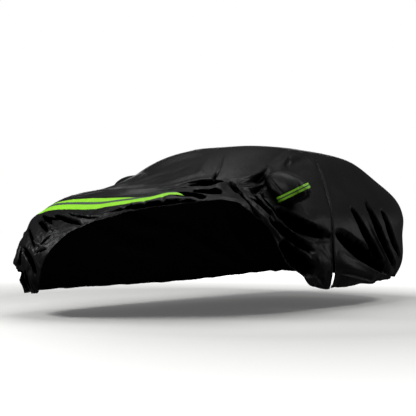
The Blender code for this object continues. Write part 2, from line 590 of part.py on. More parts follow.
def pocket_band(side, sign, middle, collection):
    """A solid that cuts the strip out of the pocket's face."""
    out, up, along, across = band_axes()
    forward = out.cross(up)
    centre = band_centre(middle)
    form = bmesh.new()
    corners = []
    for end, rise in ((0, -1), (1, -1), (1, 1), (0, 1)):
        corner = centre + along * POCKET_STRIP_ENDS[side][end]
        corners.append(corner + across * rise * POCKET_STRIP_WIDTH / 2)
    face = form.faces.new([form.verts.new(corner) for corner in corners])
    grown = bmesh.ops.extrude_face_region(form, geom=[face])
    tops = [item for item in grown["geom"] if isinstance(item, bmesh.types.BMVert)]
    bmesh.ops.translate(form, verts=tops, vec=forward * POCKET_BAND_REACH)
    if sign < 0:
        bmesh.ops.scale(form, vec=(-1, 1, 1), verts=form.verts)
    bmesh.ops.recalc_face_normals(form, faces=form.faces)
    mesh = bpy.data.meshes.new("pocket_band_" + side)
    form.to_mesh(mesh)
    form.free()
    return as_cutter(make_object("pocket_band_" + side, mesh, collection))


def build_pocket_strip(side, sign, middle, face, sheet, parts, cutters, material):
    """The reflective band across the front and outer face of a pocket."""
    cutter = pocket_band(side, sign, middle, cutters)
    band = patch("pocket_strip_" + side, face, cutter,
                 lambda spot: spot.y < middle[1] + POCKET_STRIP_BEHIND, parts, material)
    pocket_middle = in_frame((sign * middle[0], middle[1], middle[2]))
    skin = layer("skin_" + side, sheet,
                 lambda spot: (spot - pocket_middle).length < POCKET_NEIGHBOURHOOD,
                 2 * SEAT_GAP, SKIN_DEPTH, False, cutters)
    apply_modifiers(as_cutter(skin))
    cut(band, "DIFFERENCE", skin)
    band.modifiers[-1].use_self = True
    apply_modifiers(band)


def zip_line(height):
    """The zip's y at a height: straight runs between its three named points."""
    points = [ZIP_BOTTOM, SLIT_BEND, ZIP_SLIT_TOP, ZIP_TOP]
    heights = [point[1] for point in points]
    return float(np.interp(height, heights, [point[0] for point in points]))


def slit_half_width(height):
    heights = [ZIP_BOTTOM[1], SLIT_BEND[1], ZIP_SLIT_TOP[1]]
    return float(np.interp(height, heights, [SLIT_HALF_WIDTH, SLIT_BEND_HALF_WIDTH, 0.0]))


def slit_outline():
    heights = np.linspace(ZIP_BOTTOM[1] - BELOW_HEM, ZIP_SLIT_TOP[1], 9)
    front = [(zip_line(h) - slit_half_width(h), h) for h in heights]
    rear = [(zip_line(h) + slit_half_width(h), h) for h in heights[:-1]]
    return front + rear[::-1]


def tape_outline(side):
    """One tape of the zip: side -1 is the front one, +1 the rear one."""
    heights = np.linspace(ZIP_BOTTOM[1] - BELOW_HEM, ZIP_TOP[1], 16)
    inner = []
    outer = []
    for h in heights:
        edge = slit_half_width(h)
        setback = TAPE_SETBACK if edge > TAPE_SETBACK else TAPE_PARTING
        start = edge + setback
        inner.append((zip_line(h) + side * start, h))
        outer.append((zip_line(h) + side * (start + TAPE_WIDTH), h))
    return inner + outer[::-1]


def on_bonnet(spot):
    return spot.y < -1.2 and abs(spot.x) < 0.95


def near_zip(spot):
    return spot.x > 0.4 and -0.3 < spot.y < 0.9


def build_slider(sheet, parts, material):
    """The zip's slider, lying on the tapes at the top of the slit."""
    target = in_frame((SIDE_REACH[1], ZIP_SLIT_TOP[0], ZIP_SLIT_TOP[1] + SLIDER_RISE))
    found, spot, normal, _ = sheet.ray_cast(target, Vector((-1, 0, 0)))
    if not found:
        raise RuntimeError("no cloth under the zip's slider")
    form = bmesh.new()
    bmesh.ops.create_cube(form, size=1.0)
    bmesh.ops.scale(form, vec=SLIDER_SIZE, verts=form.verts)
    bmesh.ops.bevel(form, geom=form.edges[:], offset=0.0018, segments=2, affect="EDGES")
    mesh = bpy.data.meshes.new("zip_slider")
    form.to_mesh(mesh)
    form.free()
    slider = make_object("zip_slider", mesh, parts, material)
    stand_off = 2 * SEAT_GAP + STRIP_THICKNESS + SLIDER_SIZE[0] / 2
    slider.rotation_mode = "QUATERNION"
    slider.rotation_quaternion = Vector((1, 0, 0)).rotation_difference(normal)
    slider.location = spot + normal * stand_off
    return slider


def main():
    for thing in list(bpy.data.objects):
        bpy.data.objects.remove(thing)
    parts = make_collection("car_cover")
    cutters = make_collection("cutters")

    cloth = make_material("black coated polyester", "#202123", 0.42)
    pocket_cloth = make_material("black pocket cloth", "#26272a", 0.40)
    strip_film = make_material("green reflective strip", "#c8f04a", 0.45)
    tape = make_material("black zip tape", "#2b2c2e", 0.75)
    metal = make_material("dark zip metal", "#3a3b3d", 0.35, 0.9)

    sheet = as_cutter(build_sheet(cutters))

    cover = copy_of(sheet, "cover", parts, cloth)
    thicken = cover.modifiers.new("Thickness", "SOLIDIFY")
    thicken.thickness = CLOTH_THICKNESS
    thicken.offset = -1.0
    cut(cover, "DIFFERENCE", prism("slit", slit_outline(), *SIDE_REACH, "X", cutters))

    for side, sign, middle, half_sizes in POCKETS:
        pocket, hole, face = build_pocket(side, sign, middle, half_sizes, parts, cutters, pocket_cloth)
        cut(cover, "DIFFERENCE", hole)
        build_pocket_strip(side, sign, middle, face, sheet, parts, cutters, strip_film)
    apply_modifiers(cover)

    bonnet = prism("bonnet_strip_outline", BONNET_STRIP, *BONNET_REACH, "Z", cutters)
    apply_modifiers(patch("bonnet_strip", sheet, bonnet, on_bonnet, parts, strip_film))
    for name, side in (("front", -1), ("rear", 1)):
        outline = prism("tape_outline_" + name, tape_outline(side), *SIDE_REACH, "X", cutters)
        apply_modifiers(patch("zip_tape_" + name, sheet, outline, near_zip, parts, tape))
    build_slider(sheet, parts, metal)


main()
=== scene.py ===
"""Looks of the fitted car cover: draped sheet, mirror pockets, reflective strips and door zip.

Metres. The nose points to -Y, the left side to +X and up is +Z. Heights in the
tables are above the ground, and the frame's origin is under the cloth on the roof.
"""
import math

import bmesh
import bpy
import numpy as np
from bpy.props import FloatProperty, FloatVectorProperty, IntProperty, PointerProperty
from mathutils import Matrix, Vector, noise
from mathutils.bvhtree import BVHTree


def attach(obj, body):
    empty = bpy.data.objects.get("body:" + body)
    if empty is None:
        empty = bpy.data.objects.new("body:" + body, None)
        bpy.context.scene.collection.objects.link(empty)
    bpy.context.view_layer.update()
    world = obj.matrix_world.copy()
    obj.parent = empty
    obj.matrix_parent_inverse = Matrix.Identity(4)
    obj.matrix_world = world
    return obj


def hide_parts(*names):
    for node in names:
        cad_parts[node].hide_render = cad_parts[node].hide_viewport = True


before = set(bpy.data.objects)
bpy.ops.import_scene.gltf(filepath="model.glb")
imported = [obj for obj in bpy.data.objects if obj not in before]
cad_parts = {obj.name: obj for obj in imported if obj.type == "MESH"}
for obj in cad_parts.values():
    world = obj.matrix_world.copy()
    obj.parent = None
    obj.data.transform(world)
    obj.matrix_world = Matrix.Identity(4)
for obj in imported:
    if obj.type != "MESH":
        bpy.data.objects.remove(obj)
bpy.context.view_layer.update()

bl_info = {
    "name": "Fitted car cover",
    "version": (1, 0, 0),
    "blender": (4, 5, 0),
    "location": "3D View > Sidebar > Car cover",
    "description": "Builds a draped car cover with pockets, reflective strips and a door zip",
    "category": "Object",
}

# ---------------------------------------------------------------- main sizes
ROOF_UNDERSIDE = 1.516          # height of the frame's origin above the ground
ROOF_CROWN = 1.530              # height of the form at the middle of the roof
SEAT_GAP = 0.0005               # between two pieces that are sewn together

# ------------------------------------------------- the form under the cloth
# level, half width, front y, rear y, front height, side height, rear height, squareness
RINGS = [
    ("roof middle", 0.400, -0.150, 1.100, 1.510, 1.520, 1.480, 3.0),
    ("roof edge",   0.610, -0.330, 1.650, 1.475, 1.460, 1.415, 3.2),
    ("glass",       0.760, -0.790, 2.040, 1.290, 1.220, 1.260, 3.6),
    ("belt",        0.890, -1.200, 2.250, 1.110, 0.980, 1.115, 4.0),
    ("shoulder",    0.945, -1.680, 2.290, 0.990, 0.830, 0.910, 4.8),
    ("nose",        0.962, -1.995, 2.280, 0.820, 0.680, 0.690, 4.6),
    ("bumper",      0.970, -2.172, 2.250, 0.560, 0.480, 0.500, 5.0),
    ("sill",        0.952, -2.170, 2.200, 0.360, 0.330, 0.370, 5.2),
    ("hem",         0.900, -2.110, 2.090, 0.190, 0.180, 0.240, 5.2),
]
LOWEST_LEVEL = len(RINGS) - 1

# The way round the car is counted from 0 to 8: the right front corner is 0, the
# left front corner 2, the left rear corner 4 and the right rear corner 6.
# place, way round, level of the hem there
HEM = [
    ("right front corner", 0.00, 8.00),
    ("corner of the cloth", 0.54, 7.95),
    ("front edge, bottom", 0.60, 7.45),
    ("front edge",         0.72, 6.45),
    ("under the lip",      0.79, 5.96),
    ("lip",                0.91, 5.52),
    ("lip",                1.06, 5.27),
    ("over the bonnet",    1.30, 4.97),
    ("over the bonnet",    1.50, 4.66),
    ("over the bonnet",    1.77, 4.35),
    ("left front corner",  2.03, 3.89),
    ("wing, highest",      2.15, 3.84),
    ("wing",               2.34, 4.23),
    ("wing",               2.53, 4.84),
    ("door",               2.64, 5.59),
    ("door",               2.76, 6.35),
    ("sill",               2.94, 7.60),
    ("before the zip",     3.06, 7.86),
    ("behind the zip",     3.20, 7.89),
    ("rear wheel",         3.55, 7.80),
    ("left rear corner",   4.00, 7.70),
    ("tail",               5.00, 7.90),
    ("right rear corner",  6.00, 7.80),
    ("right side",         7.00, 7.95),
    ("right front corner", 8.00, 8.00),
]
HEM_EASING = 0.012              # way round over which the hem's corners are eased

# stretch, first way round, last way round, columns of the sheet
COLUMNS = [
    ("tail, right half", 5.00, 6.00, 60),
    ("right side",       6.00, 8.00, 250),
    ("nose, covered",    8.00, 8.50, 60),
    ("nose, edge",       8.50, 9.10, 90),
    ("nose, bare",       9.10, 10.00, 110),
    ("left side",        10.00, 12.00, 440),
    ("tail, left half",  12.00, 13.00, 60),
]
METRES_A_WAY = 1.15             # length of one step of the way round, for the weave
ROOF_ROWS = 40                  # from the middle of the roof to the first ring
SIDE_ROWS = 190                 # from the first ring to the hem
HEM_TURN_DEGREES = (35, 70, 105, 140, 180)
HEM_TURNED_ROWS = 3

# ------------------------------------------------------------------- folds
# A furrow with crisp edges, its height and sharpness below zero, also gets painted shade along its
# floor.
# A fold runs from the left to the right, or downwards, as seen from outside. Its lean
# makes its upper or right-hand side wider than the other one. Sharpness above zero gives
# it a crisp crest, and below zero crisp edges.
# name, start, middle, end, half width, height (below zero: a furrow), sharpness, lean
FOLDS = [
    # left side, from the pocket and the wing back to the zip
    ("pocket lens", (0.93, -0.56, 0.87), (0.95, -0.30, 0.82), (0.96, -0.04, 0.76),
     0.075, 0.020, 0.0, 0.30),
    ("pocket trough", (0.91, -0.72, 0.92), (0.96, -0.38, 0.76), (0.96, 0.19, 0.67),
     0.070, -0.060, -0.7, 0.30),
    ("trough under it", (0.94, -0.80, 0.86), (0.96, -0.47, 0.735), (0.96, -0.12, 0.66),
     0.045, -0.034, 0.1, 0.20),
    ("middle ridge", (0.87, -0.88, 0.99), (0.96, -0.60, 0.76), (0.97, -0.06, 0.61),
     0.034, 0.028, 0.9, 0.00),
    ("middle trough", (0.94, -0.86, 0.83), (0.97, -0.50, 0.65), (0.97, -0.14, 0.54),
     0.056, -0.048, -0.6, 0.20),
    ("low ridge", (0.86, -0.92, 0.99), (0.96, -0.64, 0.70), (0.97, -0.14, 0.46),
     0.034, 0.030, 0.9, 0.00),
    ("low trough", (0.97, -0.72, 0.63), (0.97, -0.46, 0.47), (0.96, -0.12, 0.33),
     0.100, -0.070, -0.6, 0.30),
    ("hem roll", (0.86, -1.08, 0.94), (0.96, -0.76, 0.71), (0.96, -0.40, 0.38),
     0.040, 0.018, 0.5, 0.00),
    ("zip bulge", (0.97, -0.20, 0.50), (0.97, -0.02, 0.44), (0.96, 0.10, 0.34),
     0.140, 0.044, 0.0, 0.00),
    ("bulge hollow", (0.96, -0.14, 0.63), (0.96, 0.02, 0.64), (0.96, 0.18, 0.65),
     0.050, -0.030, 0.0, 0.40),
    ("door belly", (0.93, -0.25, 0.92), (0.94, 0.00, 0.88), (0.95, 0.20, 0.82),
     0.160, 0.014, 0.0, 0.00),
    ("low dent", (0.97, -0.12, 0.36), (0.96, 0.00, 0.30), (0.95, 0.08, 0.24),
     0.050, -0.024, 0.0, 0.30),
    # gathers between the pocket, the pillar and the wing
    ("pillar dent", (0.69, -0.17, 1.30), (0.665, -0.10, 1.34), (0.645, -0.03, 1.38),
     0.034, -0.014, 0.0, 0.00),
    ("pillar crest", (0.64, -0.94, 1.14), (0.68, -0.68, 1.19), (0.65, -0.40, 1.30),
     0.040, 0.018, 0.6, 0.45),
    ("pillar furrow", (0.71, -0.92, 1.10), (0.71, -0.66, 1.17), (0.67, -0.42, 1.27),
     0.030, -0.030, 0.2, 0.00),
    ("pillar pit", (0.76, -0.76, 1.12), (0.73, -0.62, 1.17), (0.70, -0.50, 1.22),
     0.040, -0.044, 0.1, 0.20),
    ("pocket gather, top", (0.77, -0.95, 1.06), (0.78, -0.81, 1.08), (0.76, -0.60, 1.14),
     0.030, 0.022, 0.8, 0.00),
    ("pocket gather, pit", (0.83, -0.90, 1.03), (0.81, -0.80, 1.06), (0.79, -0.66, 1.10),
     0.040, -0.048, 0.1, 0.20),
    ("pocket gather, low", (0.71, -0.95, 1.08), (0.82, -0.83, 1.03), (0.90, -0.68, 0.975),
     0.022, 0.022, 0.9, 0.00),
    ("pocket gather, end", (0.78, -0.87, 1.08), (0.84, -0.76, 1.05), (0.89, -0.66, 1.02),
     0.018, 0.014, 0.9, 0.00),
    ("wing streak 1", (0.80, -0.93, 1.04), (0.91, -0.97, 0.93), (0.95, -0.86, 0.79),
     0.012, 0.014, 0.9, 0.00),
    ("wing streak 2", (0.78, -0.82, 1.07), (0.89, -0.81, 0.96), (0.94, -0.70, 0.87),
     0.012, 0.012, 0.9, 0.00),
    ("wing furrow 1", (0.76, -1.02, 1.05), (0.87, -1.04, 0.92), (0.94, -0.94, 0.78),
     0.040, -0.026, -0.9, 0.00),
    ("wing furrow 2", (0.79, -0.87, 1.055), (0.90, -0.885, 0.945), (0.95, -0.77, 0.83),
     0.030, -0.024, -0.9, 0.00),
    ("wing furrow 3", (0.83, -0.81, 1.03), (0.92, -0.765, 0.915), (0.96, -0.60, 0.81),
     0.026, -0.022, -0.9, 0.00),
    ("wing pit", (0.84, -1.00, 0.99), (0.90, -0.90, 0.93), (0.94, -0.78, 0.86),
     0.030, -0.028, -0.5, 0.20),
    ("pillar edge", (0.67, -0.36, 1.29), (0.62, -0.04, 1.42), (0.57, 0.26, 1.48),
     0.080, 0.022, 0.6, -0.30),
    ("glass hollow", (0.74, -0.26, 1.24), (0.71, 0.00, 1.34), (0.68, 0.30, 1.38),
     0.090, -0.018, 0.0, 0.00),
    # windscreen and its foot
    ("screen furrow", (0.19, -0.45, 1.43), (0.40, -0.79, 1.27), (0.51, -1.02, 1.15),
     0.026, -0.007, 0.2, 0.00),
    ("screen furrow, foot", (0.44, -0.87, 1.22), (0.48, -0.96, 1.18), (0.53, -1.05, 1.135),
     0.018, -0.030, 0.3, 0.00),
    ("screen fold", (0.10, -0.54, 1.40), (0.28, -0.88, 1.25), (0.38, -1.06, 1.15),
     0.060, 0.008, 0.3, 0.00),
    ("screen foot, edge", (0.24, -1.46, 1.04), (0.36, -1.16, 1.12), (0.54, -1.00, 1.155),
     0.050, 0.012, 0.5, 0.60),
    ("screen foot, pit", (0.41, -1.25, 1.085), (0.50, -1.13, 1.11), (0.61, -0.99, 1.135),
     0.100, -0.035, -0.9, 0.00),
    ("screen foot, low pit", (0.60, -1.45, 1.025), (0.67, -1.32, 1.035), (0.73, -1.18, 1.045),
     0.092, -0.022, -0.9, 0.00),
    ("screen foot, ribbon", (0.50, -1.36, 1.055), (0.59, -1.23, 1.07), (0.66, -1.12, 1.095),
     0.018, 0.004, 0.4, 0.00),
    ("screen foot, slot", (0.34, -1.56, 1.02), (0.41, -1.40, 1.05), (0.47, -1.24, 1.085),
     0.028, -0.020, -0.9, 0.00),
    # These two shallow furrows are there mostly for the painted shade along their floors.
    ("beside the strip's end", (0.50, -1.61, 1.00), (0.65, -1.53, 0.995), (0.77, -1.45, 0.98),
     0.085, -0.012, -0.9, 0.00),
    ("under the strip's end", (0.30, -1.93, 0.87), (0.58, -1.78, 0.92), (0.80, -1.52, 0.96),
     0.052, -0.012, -0.9, 0.00),
    ("screen foot, panel", (0.56, -0.98, 1.15), (0.64, -1.12, 1.10), (0.72, -1.26, 1.03),
     0.075, 0.026, 0.0, 0.00),
    ("screen foot, pleat", (0.63, -0.96, 1.12), (0.71, -1.01, 1.07), (0.79, -1.06, 1.01),
     0.040, -0.070, 0.1, 0.00),
    ("hem band", (0.66, -1.66, 0.96), (0.79, -1.36, 0.985), (0.86, -1.10, 0.975),
     0.030, 0.010, 0.3, 0.00),
    ("far screen hollow", (-0.42, -1.40, 1.05), (-0.24, -1.16, 1.12), (0.00, -0.90, 1.22),
     0.070, -0.018, 0.1, 0.40),
    ("far screen crease", (-0.20, -1.30, 1.08), (-0.06, -1.06, 1.16), (0.12, -0.80, 1.27),
     0.050, -0.010, 0.2, 0.40),
    ("screen bulge", (0.02, -1.34, 1.08), (0.20, -1.10, 1.15), (0.33, -0.92, 1.22),
     0.090, 0.012, 0.0, 0.00),
    ("screen's far corner", (-0.44, -0.84, 1.25), (-0.30, -0.57, 1.37), (-0.08, -0.38, 1.46),
     0.220, 0.032, 0.0, 0.00),
    ("far screen ripple", (-0.46, -1.36, 1.05), (-0.40, -1.10, 1.12), (-0.45, -0.80, 1.20),
     0.080, 0.018, 0.2, 0.00),
    # bonnet, above the strip
    ("bonnet ripple 1", (-0.42, -1.64, 0.98), (-0.20, -1.60, 1.01), (0.02, -1.48, 1.04),
     0.050, 0.016, 0.5, 0.00),
    ("bonnet ripple 2", (-0.30, -1.50, 1.02), (-0.05, -1.42, 1.05), (0.18, -1.30, 1.08),
     0.060, -0.020, 0.0, 0.00),
    # crumpled cloth between the strip and the hem
    ("under the strip, pit", (0.10, -1.985, 0.855), (0.392, -1.88, 0.90), (0.692, -1.618, 0.957),
     0.036, -0.040, -0.8, 0.20),
    ("lip fold 1", (-0.46, -1.96, 0.85), (-0.20, -2.03, 0.785), (0.02, -2.06, 0.75),
     0.024, -0.036, -0.7, 0.30),
    ("lip fold 2", (-0.34, -1.965, 0.85), (-0.08, -2.025, 0.80), (0.16, -2.03, 0.79),
     0.022, 0.020, 0.9, 0.00),
    ("lip fold 3", (-0.26, -1.965, 0.85), (-0.04, -2.01, 0.815), (0.16, -2.01, 0.80),
     0.018, -0.030, -0.7, 0.20),
    ("lip fold 4", (-0.58, -1.94, 0.84), (-0.44, -2.01, 0.79), (-0.32, -2.06, 0.75),
     0.020, -0.032, -0.7, 0.20),
    ("lip fold 5", (-0.54, -1.98, 0.82), (-0.38, -2.06, 0.75), (-0.20, -2.10, 0.69),
     0.024, 0.024, 0.9, 0.00),
    ("lip fold 6", (-0.60, -1.98, 0.80), (-0.43, -2.055, 0.735), (-0.32, -2.10, 0.68),
     0.022, -0.036, -0.7, 0.20),
    ("bonnet tick 1", (0.26, -1.87, 0.91), (0.30, -1.93, 0.88), (0.34, -1.98, 0.86),
     0.020, -0.014, 0.2, 0.00),
    ("bonnet tick 2", (0.32, -1.83, 0.92), (0.37, -1.90, 0.89), (0.41, -1.96, 0.86),
     0.020, 0.012, 0.7, 0.00),
    ("bonnet tick 3", (0.40, -1.78, 0.94), (0.45, -1.85, 0.91), (0.50, -1.90, 0.89),
     0.022, -0.014, 0.2, 0.00),
    ("bonnet tick 4", (0.50, -1.68, 0.97), (0.56, -1.76, 0.94), (0.61, -1.83, 0.91),
     0.026, -0.016, 0.2, 0.00),
    # cloth hanging over the right of the nose
    ("nose wedge", (-0.69, -1.98, 0.73), (-0.50, -2.11, 0.63), (-0.40, -2.16, 0.54),
     0.020, -0.040, -0.8, 0.30),
    ("nose crest", (-0.74, -1.97, 0.70), (-0.58, -2.09, 0.60), (-0.50, -2.14, 0.50),
     0.028, 0.022, 0.8, 0.00),
    ("nose pinch 1", (-0.34, -2.15, 0.57), (-0.31, -2.13, 0.61), (-0.26, -2.11, 0.66),
     0.026, -0.042, -0.7, 0.20),
    ("nose pinch 2", (-0.41, -2.16, 0.51), (-0.32, -2.16, 0.525), (-0.24, -2.16, 0.55),
     0.026, -0.026, -0.8, 0.20),
    ("nose pinch, crest", (-0.46, -2.13, 0.62), (-0.38, -2.15, 0.59), (-0.26, -2.16, 0.565),
     0.020, 0.018, 0.9, 0.00),
    ("hanging furrow 1", (-0.64, -2.09, 0.58), (-0.58, -2.14, 0.49), (-0.61, -2.13, 0.41),
     0.034, -0.044, -0.7, 0.00),
    ("hanging furrow 2", (-0.58, -2.13, 0.56), (-0.44, -2.17, 0.47), (-0.39, -2.16, 0.34),
     0.034, -0.046, -0.8, 0.00),
    ("hanging crest 1", (-0.42, -2.16, 0.54), (-0.36, -2.17, 0.45), (-0.29, -2.17, 0.37),
     0.020, 0.024, 0.9, 0.00),
    ("hanging crest 2", (-0.54, -2.15, 0.52), (-0.48, -2.16, 0.43), (-0.50, -2.15, 0.33),
     0.020, 0.024, 0.9, 0.00),
    ("hanging furrow 3", (-0.60, -2.13, 0.37), (-0.61, -2.11, 0.28), (-0.58, -2.08, 0.19),
     0.050, -0.044, -0.7, 0.00),
    ("hanging furrow 5", (-0.50, -2.15, 0.38), (-0.53, -2.14, 0.29), (-0.50, -2.10, 0.19),
     0.036, -0.030, -0.8, 0.00),
    ("corner of the nose", (-0.93, -1.85, 0.42), (-0.76, -2.06, 0.42), (-0.52, -2.15, 0.45),
     0.060, 0.022, 0.4, 0.50),
    ("nose shoulder", (-0.88, -1.66, 0.87), (-0.77, -1.88, 0.83), (-0.64, -2.00, 0.76),
     0.130, 0.034, 0.0, 0.00),
    ("under the corner", (-0.93, -1.85, 0.35), (-0.76, -2.05, 0.345), (-0.54, -2.14, 0.36),
     0.050, -0.045, -0.7, -0.30),
    ("lip blot", (-0.50, -1.97, 0.81), (-0.38, -2.01, 0.80), (-0.27, -2.02, 0.80),
     0.022, -0.020, -0.8, 0.00),
    ("hanging furrow 6", (-0.44, -2.16, 0.33), (-0.46, -2.15, 0.27), (-0.45, -2.11, 0.20),
     0.022, -0.020, -0.8, 0.00),
    ("hanging fold", (-0.47, -2.16, 0.37), (-0.43, -2.15, 0.31), (-0.43, -2.12, 0.23),
     0.045, 0.022, 0.3, 0.00),
    ("hanging furrow 4", (-0.76, -2.06, 0.60), (-0.74, -2.13, 0.42), (-0.76, -2.06, 0.22),
     0.060, -0.036, 0.0, 0.00),
    ("hanging crest 3", (-0.68, -2.10, 0.58), (-0.66, -2.16, 0.40), (-0.68, -2.09, 0.22),
     0.034, 0.024, 0.6, 0.00),
    # left side behind the zip: furrows that gather at the rear wheel
    ("fan furrow 1", (0.96, 0.25, 0.71), (0.96, 0.76, 0.475), (0.91, 1.48, 0.295),
     0.098, -0.090, -0.9, 0.60),
    ("fan furrow 2", (0.90, 0.66, 0.98), (0.96, 0.86, 0.70), (0.95, 1.30, 0.39),
     0.064, -0.058, -0.8, 0.10),
    ("fan furrow 3", (0.87, 1.03, 1.05), (0.95, 1.17, 0.72), (0.89, 1.68, 0.31),
     0.074, -0.064, -0.8, 0.10),
    ("fan furrow 4", (0.91, 1.30, 0.97), (0.94, 1.46, 0.71), (0.88, 1.82, 0.42),
     0.064, -0.056, -0.8, 0.10),
    ("fan crest 1", (0.97, 0.50, 0.76), (0.97, 0.86, 0.57), (0.94, 1.36, 0.38),
     0.030, 0.010, 0.8, 0.00),
    ("lit fan", (0.97, 0.26, 0.50), (0.96, 0.62, 0.36), (0.92, 1.20, 0.27),
     0.120, 0.040, 0.0, 0.00),
    ("fan crest 2", (0.92, 0.90, 0.91), (0.96, 1.14, 0.61), (0.91, 1.56, 0.33),
     0.026, 0.020, 0.9, 0.00),
    ("fan crest 3", (0.90, 1.31, 0.96), (0.93, 1.63, 0.58), (0.87, 1.87, 0.38),
     0.024, 0.020, 0.9, 0.00),
    ("wheel crest 1", (0.97, 0.32, 0.55), (0.96, 0.82, 0.41), (0.88, 1.70, 0.285),
     0.045, 0.018, 0.8, -0.20),
    ("wheel crest 2", (0.94, 0.38, 0.29), (0.92, 0.91, 0.24), (0.86, 1.70, 0.25),
     0.030, 0.014, 0.8, 0.00),
    ("wheel furrow", (0.96, 0.34, 0.35), (0.95, 0.66, 0.31), (0.92, 1.02, 0.265),
     0.045, -0.030, 0.1, 0.40),
    # the pleat over the closed part of the zip
    ("zip pleat", (0.66, 0.400, 1.40), (0.80, 0.318, 1.145), (0.94, 0.222, 0.86),
     0.020, -0.014, 0.5, 0.00),
    ("zip pleat, crest", (0.66, 0.440, 1.40), (0.80, 0.358, 1.145), (0.94, 0.258, 0.86),
     0.026, 0.008, 0.8, 0.00),
    # tail
    ("tail swag 1", (0.60, 2.21, 0.92), (0.10, 2.26, 0.78), (-0.50, 2.22, 0.88),
     0.120, -0.034, 0.0, 0.30),
    ("tail swag 2", (0.74, 2.20, 0.66), (0.10, 2.24, 0.52), (-0.66, 2.20, 0.62),
     0.100, -0.036, 0.0, 0.30),
    ("tail furrow 1", (0.52, 2.24, 0.70), (0.48, 2.22, 0.48), (0.50, 2.12, 0.26),
     0.060, -0.030, 0.0, 0.00),
    ("tail furrow 2", (-0.30, 2.26, 0.72), (-0.34, 2.24, 0.48), (-0.30, 2.13, 0.26),
     0.060, -0.030, 0.0, 0.00),
    # right side
    ("right swag 1", (-0.96, 0.20, 0.74), (-0.96, -0.30, 0.76), (-0.91, -0.76, 0.94),
     0.110, -0.038, 0.0, 0.30),
    ("right swag 2", (-0.97, 0.10, 0.50), (-0.97, -0.50, 0.55), (-0.95, -1.10, 0.78),
     0.120, -0.040, 0.0, 0.30),
    ("right furrow 1", (-0.93, -1.66, 0.76), (-0.95, -1.42, 0.50), (-0.93, -1.30, 0.26),
     0.110, -0.030, 0.0, 0.00),
    ("right furrow 2", (-0.90, 1.55, 0.30), (-0.97, 0.84, 0.52), (-0.96, 0.30, 0.74),
     0.110, -0.044, 0.0, 0.30),
    ("right furrow 3", (-0.92, 1.62, 0.38), (-0.95, 1.28, 0.70), (-0.88, 1.05, 1.00),
     0.090, -0.036, 0.0, 0.30),
    ("right crest 1", (-0.96, 0.50, 0.82), (-0.96, -0.10, 0.84), (-0.90, -0.60, 0.98),
     0.080, 0.020, 0.5, 0.00),
]
# Overhanging lips: the same columns, with the distance that the cloth is pushed over the
# recess in front of it, and the way it is pushed.
LIPS = [
    ("over the recess", (0.26, -1.44, 1.04), (0.37, -1.16, 1.12), (0.54, -1.01, 1.155),
     0.055, 0.020, 0.2, 0.6, (0.58, -0.78, -0.22)),
    ("over the low recess", (0.46, -1.42, 1.045), (0.56, -1.25, 1.075), (0.66, -1.13, 1.085),
     0.032, 0.008, 0.2, 0.5, (0.58, -0.78, -0.22)),
    ("over the black pleat", (0.66, -0.93, 1.13), (0.74, -0.98, 1.085), (0.82, -1.02, 1.03),
     0.036, 0.045, 0.2, 0.5, (0.45, -0.85, -0.25)),
    ("beside the pocket", (0.73, -0.92, 1.09), (0.77, -0.78, 1.12), (0.74, -0.62, 1.18),
     0.030, 0.030, 0.2, 0.5, (0.75, -0.60, -0.25)),
]
# The hem under the bonnet strip is tucked back: way round, distance
HEM_TUCKS = [(0.95, 0.0), (1.15, 0.035), (1.40, 0.065), (1.66, 0.065), (1.80, 0.0)]
HEM_TUCK_WAY = (-0.60, 0.80, 0.0)
HEM_TUCK_REACH = 0.120          # how far up the cloth it starts
FOLD_STEPS = 24                 # straight pieces in a fold's line
POINTED = 0.35                  # how much a crisp furrow narrows to its ends
RAGGED = 0.28                   # unevenness of the painted shade's edges in a crisp furrow, and its size
RAGGED_SIZE = 0.050
PAINTED_SHADE_LEFT = 0.0              # painted shade: share of colour and gloss left on a crisp furrow's floor
PAINTED_SHADE_EDGE = (0.06, 0.32)      # painted shade: depths between which the coat is painted dark
HEM_WAVE = 0.010                # how far the hem's waves stand in and out
TIGHT_HEM = 0.2                 # share of the waves left where the hem is drawn tight
HEM_WAVES_ROUND = 37            # waves in the way round
HEM_WAVE_LEVELS = 1.6           # how far up from the hem they fade out
GATHER_DEPTH = 0.0028           # the elastic's small gathers
GATHERS_ROUND = 172
GATHER_REACH = 0.075            # how far up the cloth they run, in metres

